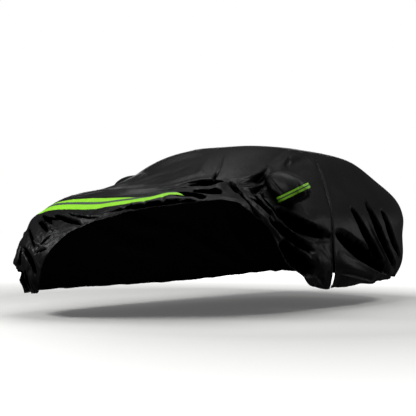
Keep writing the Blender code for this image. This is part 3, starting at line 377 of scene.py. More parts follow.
# Crumpled stretches: name, middle, reach, direction that the creases run in, their
# length, the distance between them and their height
CRUMPLES = [
    ("nose, hanging",     (-0.62, -2.10, 0.42), 0.40, (0.12, 0.00, -1.00), 0.34, 0.036, 0.0034),
    ("nose, shoulder",    (-0.47, -2.06, 0.72), 0.34, (0.65, -0.30, -0.60), 0.40, 0.030, 0.0022),
    ("under the strip",   (0.02, -2.02, 0.81), 0.40, (0.90, 0.10, -0.30), 0.24, 0.026, 0.0024),
    ("nose, turned back", (-0.28, -2.14, 0.60), 0.22, (0.80, 0.00, 0.55), 0.30, 0.030, 0.0022),
    ("bonnet hem",        (0.45, -1.84, 0.91), 0.36, (0.35, -0.60, -0.25), 0.12, 0.050, 0.003),
    ("screen's foot",     (0.48, -1.24, 1.09), 0.30, (0.70, 0.40, 0.10), 0.16, 0.060, 0.003),
    ("round the pocket",  (0.80, -0.84, 1.06), 0.26, (0.35, 1.00, 0.25), 0.26, 0.040, 0.0012),
    ("wing hem",          (0.93, -0.86, 0.80), 0.34, (0.05, 0.70, -0.70), 0.34, 0.042, 0.0026),
    ("bonnet",            (-0.30, -1.62, 0.99), 0.50, (0.85, 0.35, 0.10), 0.34, 0.110, 0.004),
    ("door, low",         (0.96, 0.00, 0.40), 0.36, (0.00, 0.60, -0.60), 0.26, 0.100, 0.004),
    ("rear wheel",        (0.92, 1.30, 0.42), 0.50, (-0.05, 0.75, -0.55), 0.34, 0.090, 0.005),
    ("tail, low",         (0.00, 2.20, 0.45), 0.90, (0.10, 0.00, -1.00), 0.30, 0.130, 0.006),
    ("right side, front", (-0.94, -1.50, 0.50), 0.75, (0.05, 0.25, -1.00), 0.30, 0.120, 0.006),
    ("right side, rear",  (-0.94, 1.00, 0.50), 1.00, (0.00, 0.75, -0.55), 0.36, 0.130, 0.006),
]
# the middle of the bonnet strip, where its seams keep the cloth even
STRIP_SEAM = ((-0.62, -1.85, 0.92), (-0.02, -1.85, 0.92), (0.44, -1.74, 0.96))
CREASE_CLEAR = 0.060            # the creases fade out this far from a tight hem
STRIP_CALM = 0.9
STRIP_CALM_REACH = 0.16
RIPPLE_SIZE = 0.32              # the slack cloth's wide, shallow unevenness
RIPPLE_HEIGHT = 0.005
CREASE_NOISE_STEP = 7.3         # how far apart the stretches lie in the noise
SMALL_CREASES = (2.3, 11.0, 0.4)    # finer creases: how much finer, their place, their share
CREASE_LEVEL = 0.45             # noise that leaves the cloth where it is
CREASE_GAIN = 1.6

# ----------------------------------------------------------------- door zip
ZIP_TOP = (0.425, 1.420)        # y and height of the upper end of the zip
ZIP_SLIT_TOP = (0.215, 0.830)   # where the open part starts
SLIT_BEND = (0.190, 0.520)      # a point half way down the slit
ZIP_BOTTOM = (0.282, 0.160)
SLIT_HALF_WIDTH = 0.026         # half of the gap at the hem
SLIT_BEND_HALF_WIDTH = 0.020
TAPE_WIDTH = 0.024
STITCH_PITCH = 0.0065           # the stitches: length, thickness and the share that is thread
STITCH_HALF_WIDTH = 0.0008
STITCH_SHARE = 0.62
STITCH_RISE = 0.0006
HEM_SEAMS = (0.004, 0.028)      # distance from the hem to its two rows of stitches
TAPE_SETBACK = 0.003            # from the slit's edge to the tape
TAPE_PARTING = 0.0008           # half of the gap where the zip is closed
SLIDER_RISE = 0.020             # from the slit's top to the slider's middle
TOOTH_PITCH = 0.0042            # centre to centre, and a tooth's size across, along and out
TOOTH_SIZE = (0.0036, 0.0019, 0.0022)
TOOTH_BEVEL = 0.0004
TOOTH_BEVEL_STEPS = 1
TOOTH_INSET = 0.0002            # from the tape's edge to a tooth's middle
TEETH_ABOVE_HEM = 0.030
SLIDER_HALF_DEPTH = 0.0039
SLIDER_BEVEL_STEPS = 3
# the slider's parts: name, size out, across and along, middle from the slider's middle, bevel
SLIDER_PARTS = [
    ("body",   (0.0052, 0.0138, 0.0130), (-0.0009, 0.0, 0.0064), 0.0012),
    ("bridge", (0.0034, 0.0036, 0.0110), (0.0017, 0.0, 0.0062), 0.0009),
    ("pull",   (0.0018, 0.0066, 0.0150), (0.0018, 0.0, -0.0052), 0.0006),
]
ZIP_PART = (0.4, -0.2, 0.8)     # the zip lies beyond this x, between these y
BELOW_HEM = 0.060               # how far the zip's outlines run past the hem
SIDE_REACH = (0.500, 1.200)     # x where outlines cut through the left side
BONNET_REACH = (0.700, 1.200)   # heights where the strip's outline cuts the bonnet

# ---------------------------------------------------------- reflective strips
# the bonnet strip from above, x and y, along its two long edges
STRIP_REAR_EDGE = [
    (-0.66, -1.780), (-0.40, -1.757), (-0.07, -1.750), (0.22, -1.738), (0.35, -1.736),
    (0.425, -1.695), (0.470, -1.600), (0.500, -1.555), (0.550, -1.545), (0.630, -1.570),
]
STRIP_FRONT_EDGE = [
    (-0.68, -1.890), (-0.46, -1.914), (-0.23, -1.928), (0.00, -1.926), (0.19, -1.882),
    (0.40, -1.805), (0.470, -1.758), (0.530, -1.665), (0.565, -1.615), (0.630, -1.570),
]
STRIP_BAND = 0.172              # width at which the front edge's bands are laid out
STRIP_EDGE_POINTS = 48
BONNET_PART = (-1.3, 0.85)      # the strip lies before this y, and within this x
POCKET_STRIP_WIDTH = 0.047
BAND_CUT = 0.4                  # length of the solid that cuts the strip out
# where the strips end, along them from their middle
POCKET_STRIP_ENDS = {"left": (-0.150, 0.160), "right": (-0.100, 0.160)}
POCKET_STRIP_DEPTH = 0.16       # how far behind the pocket's middle its face may reach
POCKET_STRIP_SLOPE = 0.50       # rise for each metre outwards
POCKET_STRIP_PLACE = (0.043, -0.021)    # out and up from the pocket's middle
POCKET_STRIP_TURN = math.radians(36.7)  # the side from which the strip looks straight

# map, its width in metres, distance of the row of stitches from the edge
BONNET_SEAMS = (("strip", STRIP_BAND, 0.004), ("strip_rear", 1.0, 0.004))
POCKET_SEAMS = (("strip", POCKET_STRIP_WIDTH, 0.004), ("strip", POCKET_STRIP_WIDTH, 0.043))

# -------------------------------------------------------------- mirror pockets
# side, sign of x, middle (x, y, height), half sizes (x, y, z)
POCKETS = [
    ("left", 1.0, (0.905, -0.500, 1.065), (0.220, 0.155, 0.160)),
    ("right", -1.0, (0.865, -0.500, 1.095), (0.195, 0.145, 0.140)),
]
POCKET_SQUARENESS = 2.5
POCKET_TURN = math.radians(14.0)
POCKET_FURROW = 0.022           # depth of its furrows as a share of its size
POCKET_TUCK = 0.45              # how far its underside is drawn up towards the strip
POCKET_SEGMENTS = 128
POCKET_RINGS = 84
POCKET_MOUTH = (0.650, 1.200)   # x and height of the mouth's upper end
POCKET_MOUTH_FOOT = (0.850, 0.935)
# creases in the pocket, from its middle: the same columns as the folds
POCKET_FOLDS = [
    ("foot crease 1", (-0.14, -0.10, 0.09), (-0.03, -0.15, 0.03), (0.08, -0.15, -0.03),
     0.020, -0.008, 0.6, 0.0),
    ("foot crease 2", (-0.15, -0.11, 0.04), (-0.07, -0.15, -0.02), (0.02, -0.15, -0.07),
     0.018, -0.007, 0.6, 0.0),
    ("foot crest", (-0.15, -0.10, 0.07), (-0.05, -0.15, 0.01), (0.05, -0.15, -0.05),
     0.016, 0.002, 0.9, 0.0),
    ("top crease", (-0.12, -0.02, 0.14), (0.00, -0.03, 0.15), (0.10, -0.05, 0.13),
     0.030, -0.002, 0.3, 0.0),
    ("outer crease 1", (0.14, -0.09, 0.10), (0.18, -0.10, 0.05), (0.20, -0.10, 0.00),
     0.020, -0.007, 0.5, 0.0),
    ("outer crest", (0.12, -0.11, 0.10), (0.16, -0.12, 0.05), (0.18, -0.12, 0.00),
     0.016, 0.005, 0.9, 0.0),
    ("outer crease 2", (0.18, -0.02, 0.08), (0.21, -0.02, 0.02), (0.21, -0.02, -0.05),
     0.026, -0.007, 0.3, 0.0),
    ("under crease", (-0.10, -0.12, -0.10), (0.03, -0.12, -0.13), (0.14, -0.10, -0.11),
     0.030, -0.008, 0.3, 0.0),
]


# ===================================================================== stage
# name, place, aim, size, power in watts
LIGHTS = [
    ("overhead softbox", (0.0, -0.6, 4.2), (0.0, -0.2, -0.6), (4.6, 4.6), 165.0),
    ("side softbox", (4.2, 2.0, 3.6), (0.9, 0.5, -0.6), (2.6, 1.9), 112.0),
    ("low softbox", (3.4, 4.8, -0.3), (0.9, 0.5, -1.0), (2.0, 1.0), 8.0),
    ("front softbox", (-1.9, -4.8, 1.3), (-0.5, -2.0, -0.8), (1.5, 1.3), 120.0),
    ("far softbox", (-4.6, 6.0, 0.9), (0.0, -0.8, -0.5), (6.0, 2.6), 120.0),
]
PAINTED_FLOOR_GLOW = 0.10                # painted light: the board's glow under the object, which lifts its shadow
WORLD_LIGHT = 0.05               # the white surround as it lights the cloth
# the camera was fitted to points read off the two sides that show
CAMERA_PLACE = (5.017, -7.139, 0.710)   # its height above the ground
CAMERA_YAW = math.radians(36.72)
CAMERA_PITCH = math.radians(-1.46)      # below zero: it looks slightly up
CAMERA_ROLL = math.radians(0.74)
CAMERA_LENS = 78.85


# =================================================================== helpers
def linear(hex_colour):
    """An sRGB hex colour as the linear RGBA that a shader takes."""
    channels = [int(hex_colour[i:i + 2], 16) / 255.0 for i in (1, 3, 5)]
    return [c / 12.92 if c <= 0.04045 else ((c + 0.055) / 1.055) ** 2.4 for c in channels] + [1.0]


def add_node(tree, kind, settings=None, inputs=None):
    """Add a node: settings are its properties, inputs are values or sockets to link from."""
    node = tree.nodes.new(kind)
    for name, value in (settings or {}).items():
        setattr(node, name, value)
    for name, value in (inputs or {}).items():
        if isinstance(value, bpy.types.NodeSocket):
            tree.links.new(value, node.inputs[name])
        else:
            node.inputs[name].default_value = value
    return node


def unit(vectors):
    return vectors / np.maximum(np.linalg.norm(vectors, axis=-1, keepdims=True), 1e-12)


def in_frame(point):
    """A table's point, with its height above the ground, in the part's frame."""
    return Vector((point[0], point[1], point[2] - ROOF_UNDERSIDE))


def make_object(name, mesh, *materials):
    thing = bpy.data.objects.new(name, mesh)
    bpy.context.scene.collection.objects.link(thing)
    mesh.materials.clear()
    for material in materials:
        mesh.materials.append(material)
    return thing


def drop(*things):
    for thing in things:
        mesh = thing.data
        bpy.data.objects.remove(thing)
        bpy.data.meshes.remove(mesh)


def apply_modifiers(thing):
    """Replace an object's mesh by the one that its modifiers make."""
    graph = bpy.context.evaluated_depsgraph_get()
    shaped = bpy.data.meshes.new_from_object(thing.evaluated_get(graph), depsgraph=graph)
    thing.modifiers.clear()
    thing.data = shaped
    return thing


def cut(thing, operation, cutter):
    modifier = thing.modifiers.new(operation.title(), "BOOLEAN")
    modifier.operation = operation
    modifier.object = cutter
    modifier.solver = "EXACT"
    return apply_modifiers(thing)


def thicken(thing, thickness, offset, inner_material=0):
    modifier = thing.modifiers.new("Thickness", "SOLIDIFY")
    modifier.thickness = thickness
    modifier.offset = offset
    modifier.material_offset = inner_material
    return apply_modifiers(thing)


def smooth(thing, degrees):
    """Smooth shading, but for edges sharper than an angle."""
    bpy.ops.object.select_all(action="DESELECT")
    thing.select_set(True)
    bpy.context.view_layer.objects.active = thing
    bpy.ops.object.shade_smooth_by_angle(angle=math.radians(degrees))


def finish_piece(piece, slot, *nodes):
    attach(piece, "root")
    if nodes:
        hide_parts(*nodes)
    return piece


# ========================================================= form of the cloth
def ring_values(level):
    """The rings' sizes at any level, by a cubic curve through the table."""
    table = np.array([row[1:] for row in RINGS])
    level = np.clip(level, 0, LOWEST_LEVEL)
    lower = np.minimum(level.astype(int), LOWEST_LEVEL - 1)
    t = (level - lower)[..., None]
    before = table[np.maximum(lower - 1, 0)]
    start = table[lower]
    end = table[lower + 1]
    after = table[np.minimum(lower + 2, LOWEST_LEVEL)]
    span_start = np.where((lower > 0)[..., None], 2.0, 1.0)
    span_end = np.where((lower + 2 <= LOWEST_LEVEL)[..., None], 2.0, 1.0)
    slope_start = (end - before) / span_start
    slope_end = (after - start) / span_end
    return ((2 * t**3 - 3 * t**2 + 1) * start + (t**3 - 2 * t**2 + t) * slope_start
            + (3 * t**2 - 2 * t**3) * end + (t**3 - t**2) * slope_end)


def square_place(way):
    """The way round, 0 to 8, as a place on the edge of a square."""
    way = np.mod(way, 8.0)
    across = np.select([way < 2, way < 4, way < 6], [way - 1, np.ones_like(way), 5 - way], -1.0)
    along = np.select([way < 2, way < 4, way < 6], [-np.ones_like(way), way - 3, 1.0], 7 - way)
    return across, along


def form_points(way, level):
    """Points of the plain form, without folds. Levels below 0 lie on the roof."""
    across, along = square_place(way)
    values = np.moveaxis(ring_values(level), -1, 0)
    half_width, front, rear, z_front, z_side, z_rear, squareness = values
    reach = (np.abs(across) ** squareness + np.abs(along) ** squareness) ** (1 / squareness)
    lengthwise = along / reach
    x = half_width * across / reach
    y = (front + rear) / 2 + (rear - front) / 2 * lengthwise
    z = (z_side + (z_front - z_side) * np.maximum(-lengthwise, 0) ** 2
         + (z_rear - z_side) * np.maximum(lengthwise, 0) ** 2)
    inward = np.clip(1 + level, 0, 1)
    middle = (front + rear) / 2
    on_roof = level < 0
    x = np.where(on_roof, x * inward, x)
    y = np.where(on_roof, middle + (y - middle) * inward, y)
    z = np.where(on_roof, ROOF_CROWN + (z - ROOF_CROWN) * inward**2, z)
    return np.stack([x, y, z], -1)


def smooth_hem(way):
    """The hem's level, eased between the rows of its table."""
    places = np.array([row[1] for row in HEM])
    levels = np.array([row[2] for row in HEM])
    taps = [np.interp(np.mod(way + k * HEM_EASING, 8.0), places, levels) for k in (-2, -1, 0, 1, 2)]
    return sum(taps) / len(taps)


def fold_line(start, middle, end):
    """A curve that starts, passes half way and ends at the three points."""
    start, middle, end = np.array(start), np.array(middle), np.array(end)
    handle = 2 * middle - (start + end) / 2
    t = np.linspace(0, 1, FOLD_STEPS + 1)[:, None]
    return (1 - t) ** 2 * start + 2 * t * (1 - t) * handle + t**2 * end


def fold_heights(points, normals, folds):
    """How far each point of a plain form moves out along its normal."""
    flat = points.reshape(-1, 3)
    facing = normals.reshape(-1, 3)
    total = np.zeros(len(flat))
    for _, start, middle, end, half_width, height, sharpness, lean in folds:
        line = fold_line(start, middle, end)
        reach = half_width * (1 + abs(lean))
        low = line.min(axis=0) - reach
        high = line.max(axis=0) + reach
        near = np.where(((flat > low) & (flat < high)).all(axis=1))[0]
        best = np.full(len(near), 1e9)
        along = np.zeros(len(near))
        side = np.zeros(len(near))
        for step in range(FOLD_STEPS):
            here = line[step]
            run = line[step + 1] - here
            t = np.clip((flat[near] - here) @ run / (run @ run), 0, 1)
            off = flat[near] - here - t[:, None] * run
            gap = np.linalg.norm(off, axis=1)
            closer = gap < best
            best = np.where(closer, gap, best)
            along = np.where(closer, (step + t) / FOLD_STEPS, along)
            across = np.cross(facing[near], run)
            side = np.where(closer, (off * across).sum(axis=1), side)
        width = half_width * (1 + lean * np.sign(side))
        if sharpness < 0:
            width = width * np.maximum(4 * along * (1 - along), 0.01) ** POINTED
        share = np.minimum(best / width, 1)
        if sharpness < 0:
            profile = (1 + sharpness) * (1 - share**2) ** 2 - sharpness * (1 - share**1.5)
        else:
            profile = (1 - sharpness) * (1 - share**2) ** 2 + sharpness * (1 - share) ** 1.7
        fade = np.clip(4 * along * (1 - along), 0, 1) ** 0.8
        total[near] += height * profile * fade
    return total.reshape(points.shape[:-1])


def painted_furrow_shade(points, normals):
    """Painted shade: how deep each point lies in a furrow with crisp edges, from 0 to 1, with
    ragged edges. The cloth's colour and gloss are painted dark by it.
    """
    share = np.zeros(points.shape[:-1])
    for name, start, middle, end, half_width, height, sharpness, lean in FOLDS:
        if height < 0 and sharpness < 0:
            row = (name, start, middle, end, half_width, 1.0, -1.0, lean)
            share = np.maximum(share, fold_heights(points, normals, [row]))
    flat = points[share > 0]
    uneven = np.array([noise.noise(Vector(place)) for place in flat / RAGGED_SIZE])
    share[share > 0] += RAGGED * uneven
    return share


def ridged(places):
    """Noise with sharp crests, from 0 to 1."""
    values = np.array([noise.noise(Vector(place)) for place in places])
    return (1 - np.minimum(2.4 * np.abs(values), 1)) ** 1.5


def calm_share(points):
    """How freely the cloth creases: less where it is sewn to the bonnet strip."""
    line = fold_line(*STRIP_SEAM)
    steps = points[..., None, :] - line
    gap = np.linalg.norm(steps, axis=-1).min(axis=-1)
    return 1 - STRIP_CALM * np.clip(1.5 * (1 - gap / STRIP_CALM_REACH), 0, 1)


def crumple_heights(points):
    """Ridged creases in the crumpled stretches, and the slack cloth's wide ripples."""
    flat = points.reshape(-1, 3)
    total = np.zeros(len(flat))
    for number, (_, middle, reach, run, length, distance, height) in enumerate(CRUMPLES):
        gap = np.linalg.norm(flat - np.array(middle), axis=1)
        near = np.where(gap < reach)[0]
        along = unit(np.array(run))
        aside = unit(np.cross(along, (0.3, 0.5, 0.8)))
        out = np.cross(along, aside)
        offset = CREASE_NOISE_STEP * number
        local = np.stack([flat[near] @ along / length, flat[near] @ aside / distance,
                          flat[near] @ out / distance], -1) + offset
        ridges = ridged(local)
        finer, place, share = SMALL_CREASES
        small = ridged(local * finer + place)
        fade = np.clip(1.6 * (1 - gap[near] / reach), 0, 1)
        fade = fade**2 * (3 - 2 * fade)
        total[near] += CREASE_GAIN * height * fade * (ridges + share * small - CREASE_LEVEL)
    ripples = np.array([noise.noise(Vector(p)) for p in flat / RIPPLE_SIZE])
    total += RIPPLE_HEIGHT * ripples
    return total.reshape(points.shape[:-1])


def slack_share(way):
    """How slack the hem hangs: it is drawn tight from the nose over the bonnet to the door."""
    return np.interp(np.mod(way, 8.0), (0.45, 0.60, 2.10, 2.70), (1.0, TIGHT_HEM, TIGHT_HEM, 1.0))


def hem_waves(way, level, hem):
    """Small waves that the gathered hem makes, fading out upwards."""
    rise = np.clip(1 - (hem - level) / HEM_WAVE_LEVELS, 0, 1) ** 2
    wave = (np.sin(way * HEM_WAVES_ROUND * math.pi / 4)
            + 0.5 * np.sin(way * HEM_WAVES_ROUND * math.pi / 4 * 1.618 + 1.0))
    return HEM_WAVE * rise * wave * slack_share(way)


def hem_gathers(way, above_hem):
    """The short gathers that the elastic draws into the hem."""
    rise = np.clip(1 - above_hem / GATHER_REACH, 0, 1) ** 1.5
    turn = way * GATHERS_ROUND * math.pi / 4
    uneven = 0.6 + 0.4 * np.sin(way * 23.0 + 1.3 * np.sin(way * 9.1))
    return GATHER_DEPTH * rise * uneven * np.sin(turn + 1.8 * np.sin(way * 31.0))


def outward(points):
    """The outward direction at each point of a grid whose columns run down the cloth."""
    around = np.roll(points, -1, axis=1) - np.roll(points, 1, axis=1)
    down = np.gradient(points, axis=0)
    return unit(np.cross(down, around))


def height_above_hem(points):
    """Each point's distance up the cloth from the hem, along its column."""
    steps = np.linalg.norm(np.diff(points, axis=0), axis=-1)
    run = np.concatenate([np.zeros((1, points.shape[1])), np.cumsum(steps, axis=0)])
    return run[-1] - run


def hem_tuck(way, above):
    """How far the hem under the bonnet strip is tucked back."""
    tuck = np.interp(np.mod(way, 8.0), *np.array(HEM_TUCKS).T)
    share = np.clip(1 - above / HEM_TUCK_REACH, 0, 1)
    return (tuck * share**2 * (3 - 2 * share))[..., None] * np.array(HEM_TUCK_WAY)


def turned_hem(points, hem_width, hem_radius):
    """Rows that turn the hem inwards and back up behind the cloth."""
    normal = outward(points)[-1]
    down = unit(points[-1] - points[-2])
    centre = points[-1] - normal * hem_radius
    rows = []
    for degrees in HEM_TURN_DEGREES:
        angle = math.radians(degrees)
        rows.append(centre + hem_radius * (math.cos(angle) * normal + math.sin(angle) * down))
    for step in range(1, HEM_TURNED_ROWS + 1):
        rows.append(rows[len(HEM_TURN_DEGREES) - 1] - down * hem_width * step / HEM_TURNED_ROWS)
    return np.array(rows)


def sheet_grid():
    """The draped sheet as rows of points, with folds, and each point's place on the cloth."""
    sizes = bpy.context.scene.cover_sizes
    ways = []
    for _, first, last, count in COLUMNS:
        ways.extend(np.linspace(first, last, count, endpoint=False))
    ways = np.array(ways)
    hem = smooth_hem(ways)
    roof = np.linspace(-1, 0, ROOF_ROWS, endpoint=False)[1:]
    side = np.linspace(0, 1, SIDE_ROWS)
    level = np.vstack([np.repeat(roof[:, None], len(ways), axis=1), side[:, None] * hem])
    way = np.repeat(ways[None, :], len(level), axis=0)
    points = form_points(way, level)
    above = height_above_hem(points)
    normals = outward(points)
    slack = slack_share(way)
    free = slack + (1 - slack) * np.clip(above / CREASE_CLEAR, 0, 1)
    creases = crumple_heights(points) * calm_share(points) * free
    height = (fold_heights(points, normals, FOLDS) + creases
              + hem_waves(way, level, hem) + hem_gathers(way, above))
    pushed = sum(fold_heights(points, normals, [lip[:-1]])[..., None] * unit(np.array(lip[-1]))
                 for lip in LIPS)
    # painted shade along the floors of crisp furrows, carried to the shader as the third column of
    # place
    hollow = painted_furrow_shade(points, normals)
    points = points + normals * height[..., None] + pushed + hem_tuck(way, above)
    turned = turned_hem(points, sizes.hem_width, sizes.hem_radius)
    inside = np.linalg.norm(np.diff(np.concatenate([points[-1:], turned]), axis=0), axis=-1)
    above = np.concatenate([above, -np.cumsum(inside, axis=0)])
    way = np.repeat(ways[None, :], len(above), axis=0)
    hollow = np.concatenate([hollow, np.zeros(turned.shape[:-1])])
    place = np.stack([way * METRES_A_WAY, above, hollow], -1)
    return np.concatenate([points, turned]), place


def sheet_mesh(points, place):
    """The sheet's outer face as a mesh, with the map of each point's place on the cloth."""
    rows, columns = points.shape[:2]
    crown = (0.0, (RINGS[0][2] + RINGS[0][3]) / 2, ROOF_CROWN)
    verts = np.concatenate([[crown], points.reshape(-1, 3)]) - (0, 0, ROOF_UNDERSIDE)
    index = 1 + np.arange(rows * columns).reshape(rows, columns)
    after = np.roll(index, -1, axis=1)
    quads = np.stack([index[:-1], index[1:], after[1:], after[:-1]], -1).reshape(-1, 4)
    fan = np.stack([np.zeros(columns, int), index[0], after[0]], -1)
    mesh = bpy.data.meshes.new("sheet")
    mesh.from_pydata(verts.tolist(), [], fan.tolist() + quads.tolist())
    round_way = 8 * METRES_A_WAY
    place_after = np.roll(place, -1, axis=1)
    place_after[:, -1, 0] += round_way
    corners = np.stack([place[:-1], place[1:], place_after[1:], place_after[:-1]], -2)
    tip = (place[0] + place_after[0]) / 2 + (0, 0.02, 0)
    fan_places = np.stack([tip, place[0], place_after[0]], 1)
    both = np.concatenate([fan_places.reshape(-1, 3), corners.reshape(-1, 3)])
    mesh.uv_layers.new(name="cloth").data.foreach_set("uv", both[:, :2].ravel())
    # the map hollow carries the painted shade of the crisp furrows
    mesh.uv_layers.new(name="hollow").data.foreach_set("uv", both[:, [2, 2]].ravel())
    return mesh


def keep_faces(mesh, wanted):
    """Drop the faces whose middle isn't wanted."""
    form = bmesh.new()
    form.from_mesh(mesh)
    spare = [face for face in form.faces if not wanted(face.calc_center_median())]
    bmesh.ops.delete(form, geom=spare, context="FACES")
    form.to_mesh(mesh)
    form.free()


def lift(mesh, distance):
    """Move each vertex out along its normal."""
    form = bmesh.new()
    form.from_mesh(mesh)
    form.normal_update()
    places = [vert.co + vert.normal * distance for vert in form.verts]
    for vert, place in zip(form.verts, places):
        vert.co = place
    form.to_mesh(mesh)
    form.free()


def prism(name, outline, near, far, axis):
    """A flat outline as a solid that runs along an axis between two places."""
    form = bmesh.new()
    if axis == "X":
        corners = [(near, y, z) for y, z in outline]
        run = Vector((far - near, 0, 0))
    else:
        corners = [(x, y, near) for x, y in outline]
        run = Vector((0, 0, far - near))
    face = form.faces.new([form.verts.new(in_frame(corner)) for corner in corners])
    grown = bmesh.ops.extrude_face_region(form, geom=[face])
    tops = [item for item in grown["geom"] if isinstance(item, bmesh.types.BMVert)]
    bmesh.ops.translate(form, verts=tops, vec=run)
    bmesh.ops.recalc_face_normals(form, faces=form.faces)
    mesh = bpy.data.meshes.new(name)
    form.to_mesh(mesh)
    form.free()
    return make_object(name, mesh)


def patch(name, sheet, cutter, wanted, thickness, material):
    """A strip sewn on a sheet: it follows the sheet's face inside an outline."""
    piece = make_object(name, sheet.data.copy(), material)
    keep_faces(piece.data, wanted)
    lift(piece.data, SEAT_GAP)
    thicken(piece, thickness, 1.0)
    cut(piece, "INTERSECT", cutter)
    piece.data.materials.clear()
    piece.data.materials.append(material)
    piece.data.polygons.foreach_set("material_index", [0] * len(piece.data.polygons))
    drop(cutter)
    return piece


def set_places(mesh, name, place_of):
    """A map of a strip: each vertex's place across and along it."""
    layer = mesh.uv_layers.get(name) or mesh.uv_layers.new(name=name)
    places = [place_of(vert.co) for vert in mesh.vertices]
    corners = [places[loop.vertex_index] for loop in mesh.loops]
    layer.data.foreach_set("uv", [value for corner in corners for value in corner])


# =================================================================== finishes
WAVE_BAND = 0.1571              # scale at which a wave texture's band is 1 m wide


def start_material(name, colour, roughness, metallic=0.0, specular=0.5):
    material = bpy.data.materials.new(name)
    material.use_nodes = True
    shader = material.node_tree.nodes["Principled BSDF"]
    shader.inputs["Base Color"].default_value = colour
    shader.inputs["Roughness"].default_value = roughness
    shader.inputs["Metallic"].default_value = metallic
    shader.inputs["Specular IOR Level"].default_value = specular
    return material, material.node_tree, shader


def sew(tree, shader, across, along, line, colour):
    """A row of lockstitches along a line of a map, over a finished cloth.

    A stitch is 3 mm long. Thread and stitch are drawn about twice as large, as they
    would be lost in the render.
    """
    on_line = add_node(tree, "ShaderNodeMath", {"operation": "COMPARE"},
                       {0: across, 1: line, 2: STITCH_HALF_WIDTH})
    count = add_node(tree, "ShaderNodeMath", {"operation": "DIVIDE"}, {0: along, 1: STITCH_PITCH})
    part = add_node(tree, "ShaderNodeMath", {"operation": "FRACT"}, {0: count.outputs["Value"]})
    on_dash = add_node(tree, "ShaderNodeMath", {"operation": "LESS_THAN"},
                       {0: part.outputs["Value"], 1: STITCH_SHARE})
    thread = add_node(tree, "ShaderNodeMath", {"operation": "MULTIPLY"},
                      {0: on_line.outputs["Value"], 1: on_dash.outputs["Value"]})
    sewn = add_node(tree, "ShaderNodeMix", {"data_type": "RGBA"},
                    {"Factor": thread.outputs["Value"], "B": colour,
                     "A": shader.inputs["Base Color"].links[0].from_socket})
    tree.links.new(sewn.outputs["Result"], shader.inputs["Base Color"])
    raised = add_node(tree, "ShaderNodeBump", None,
                      {"Height": thread.outputs["Value"], "Strength": 0.6, "Distance": STITCH_RISE,
                       "Normal": shader.inputs["Normal"].links[0].from_socket})
    tree.links.new(raised.outputs["Normal"], shader.inputs["Normal"])


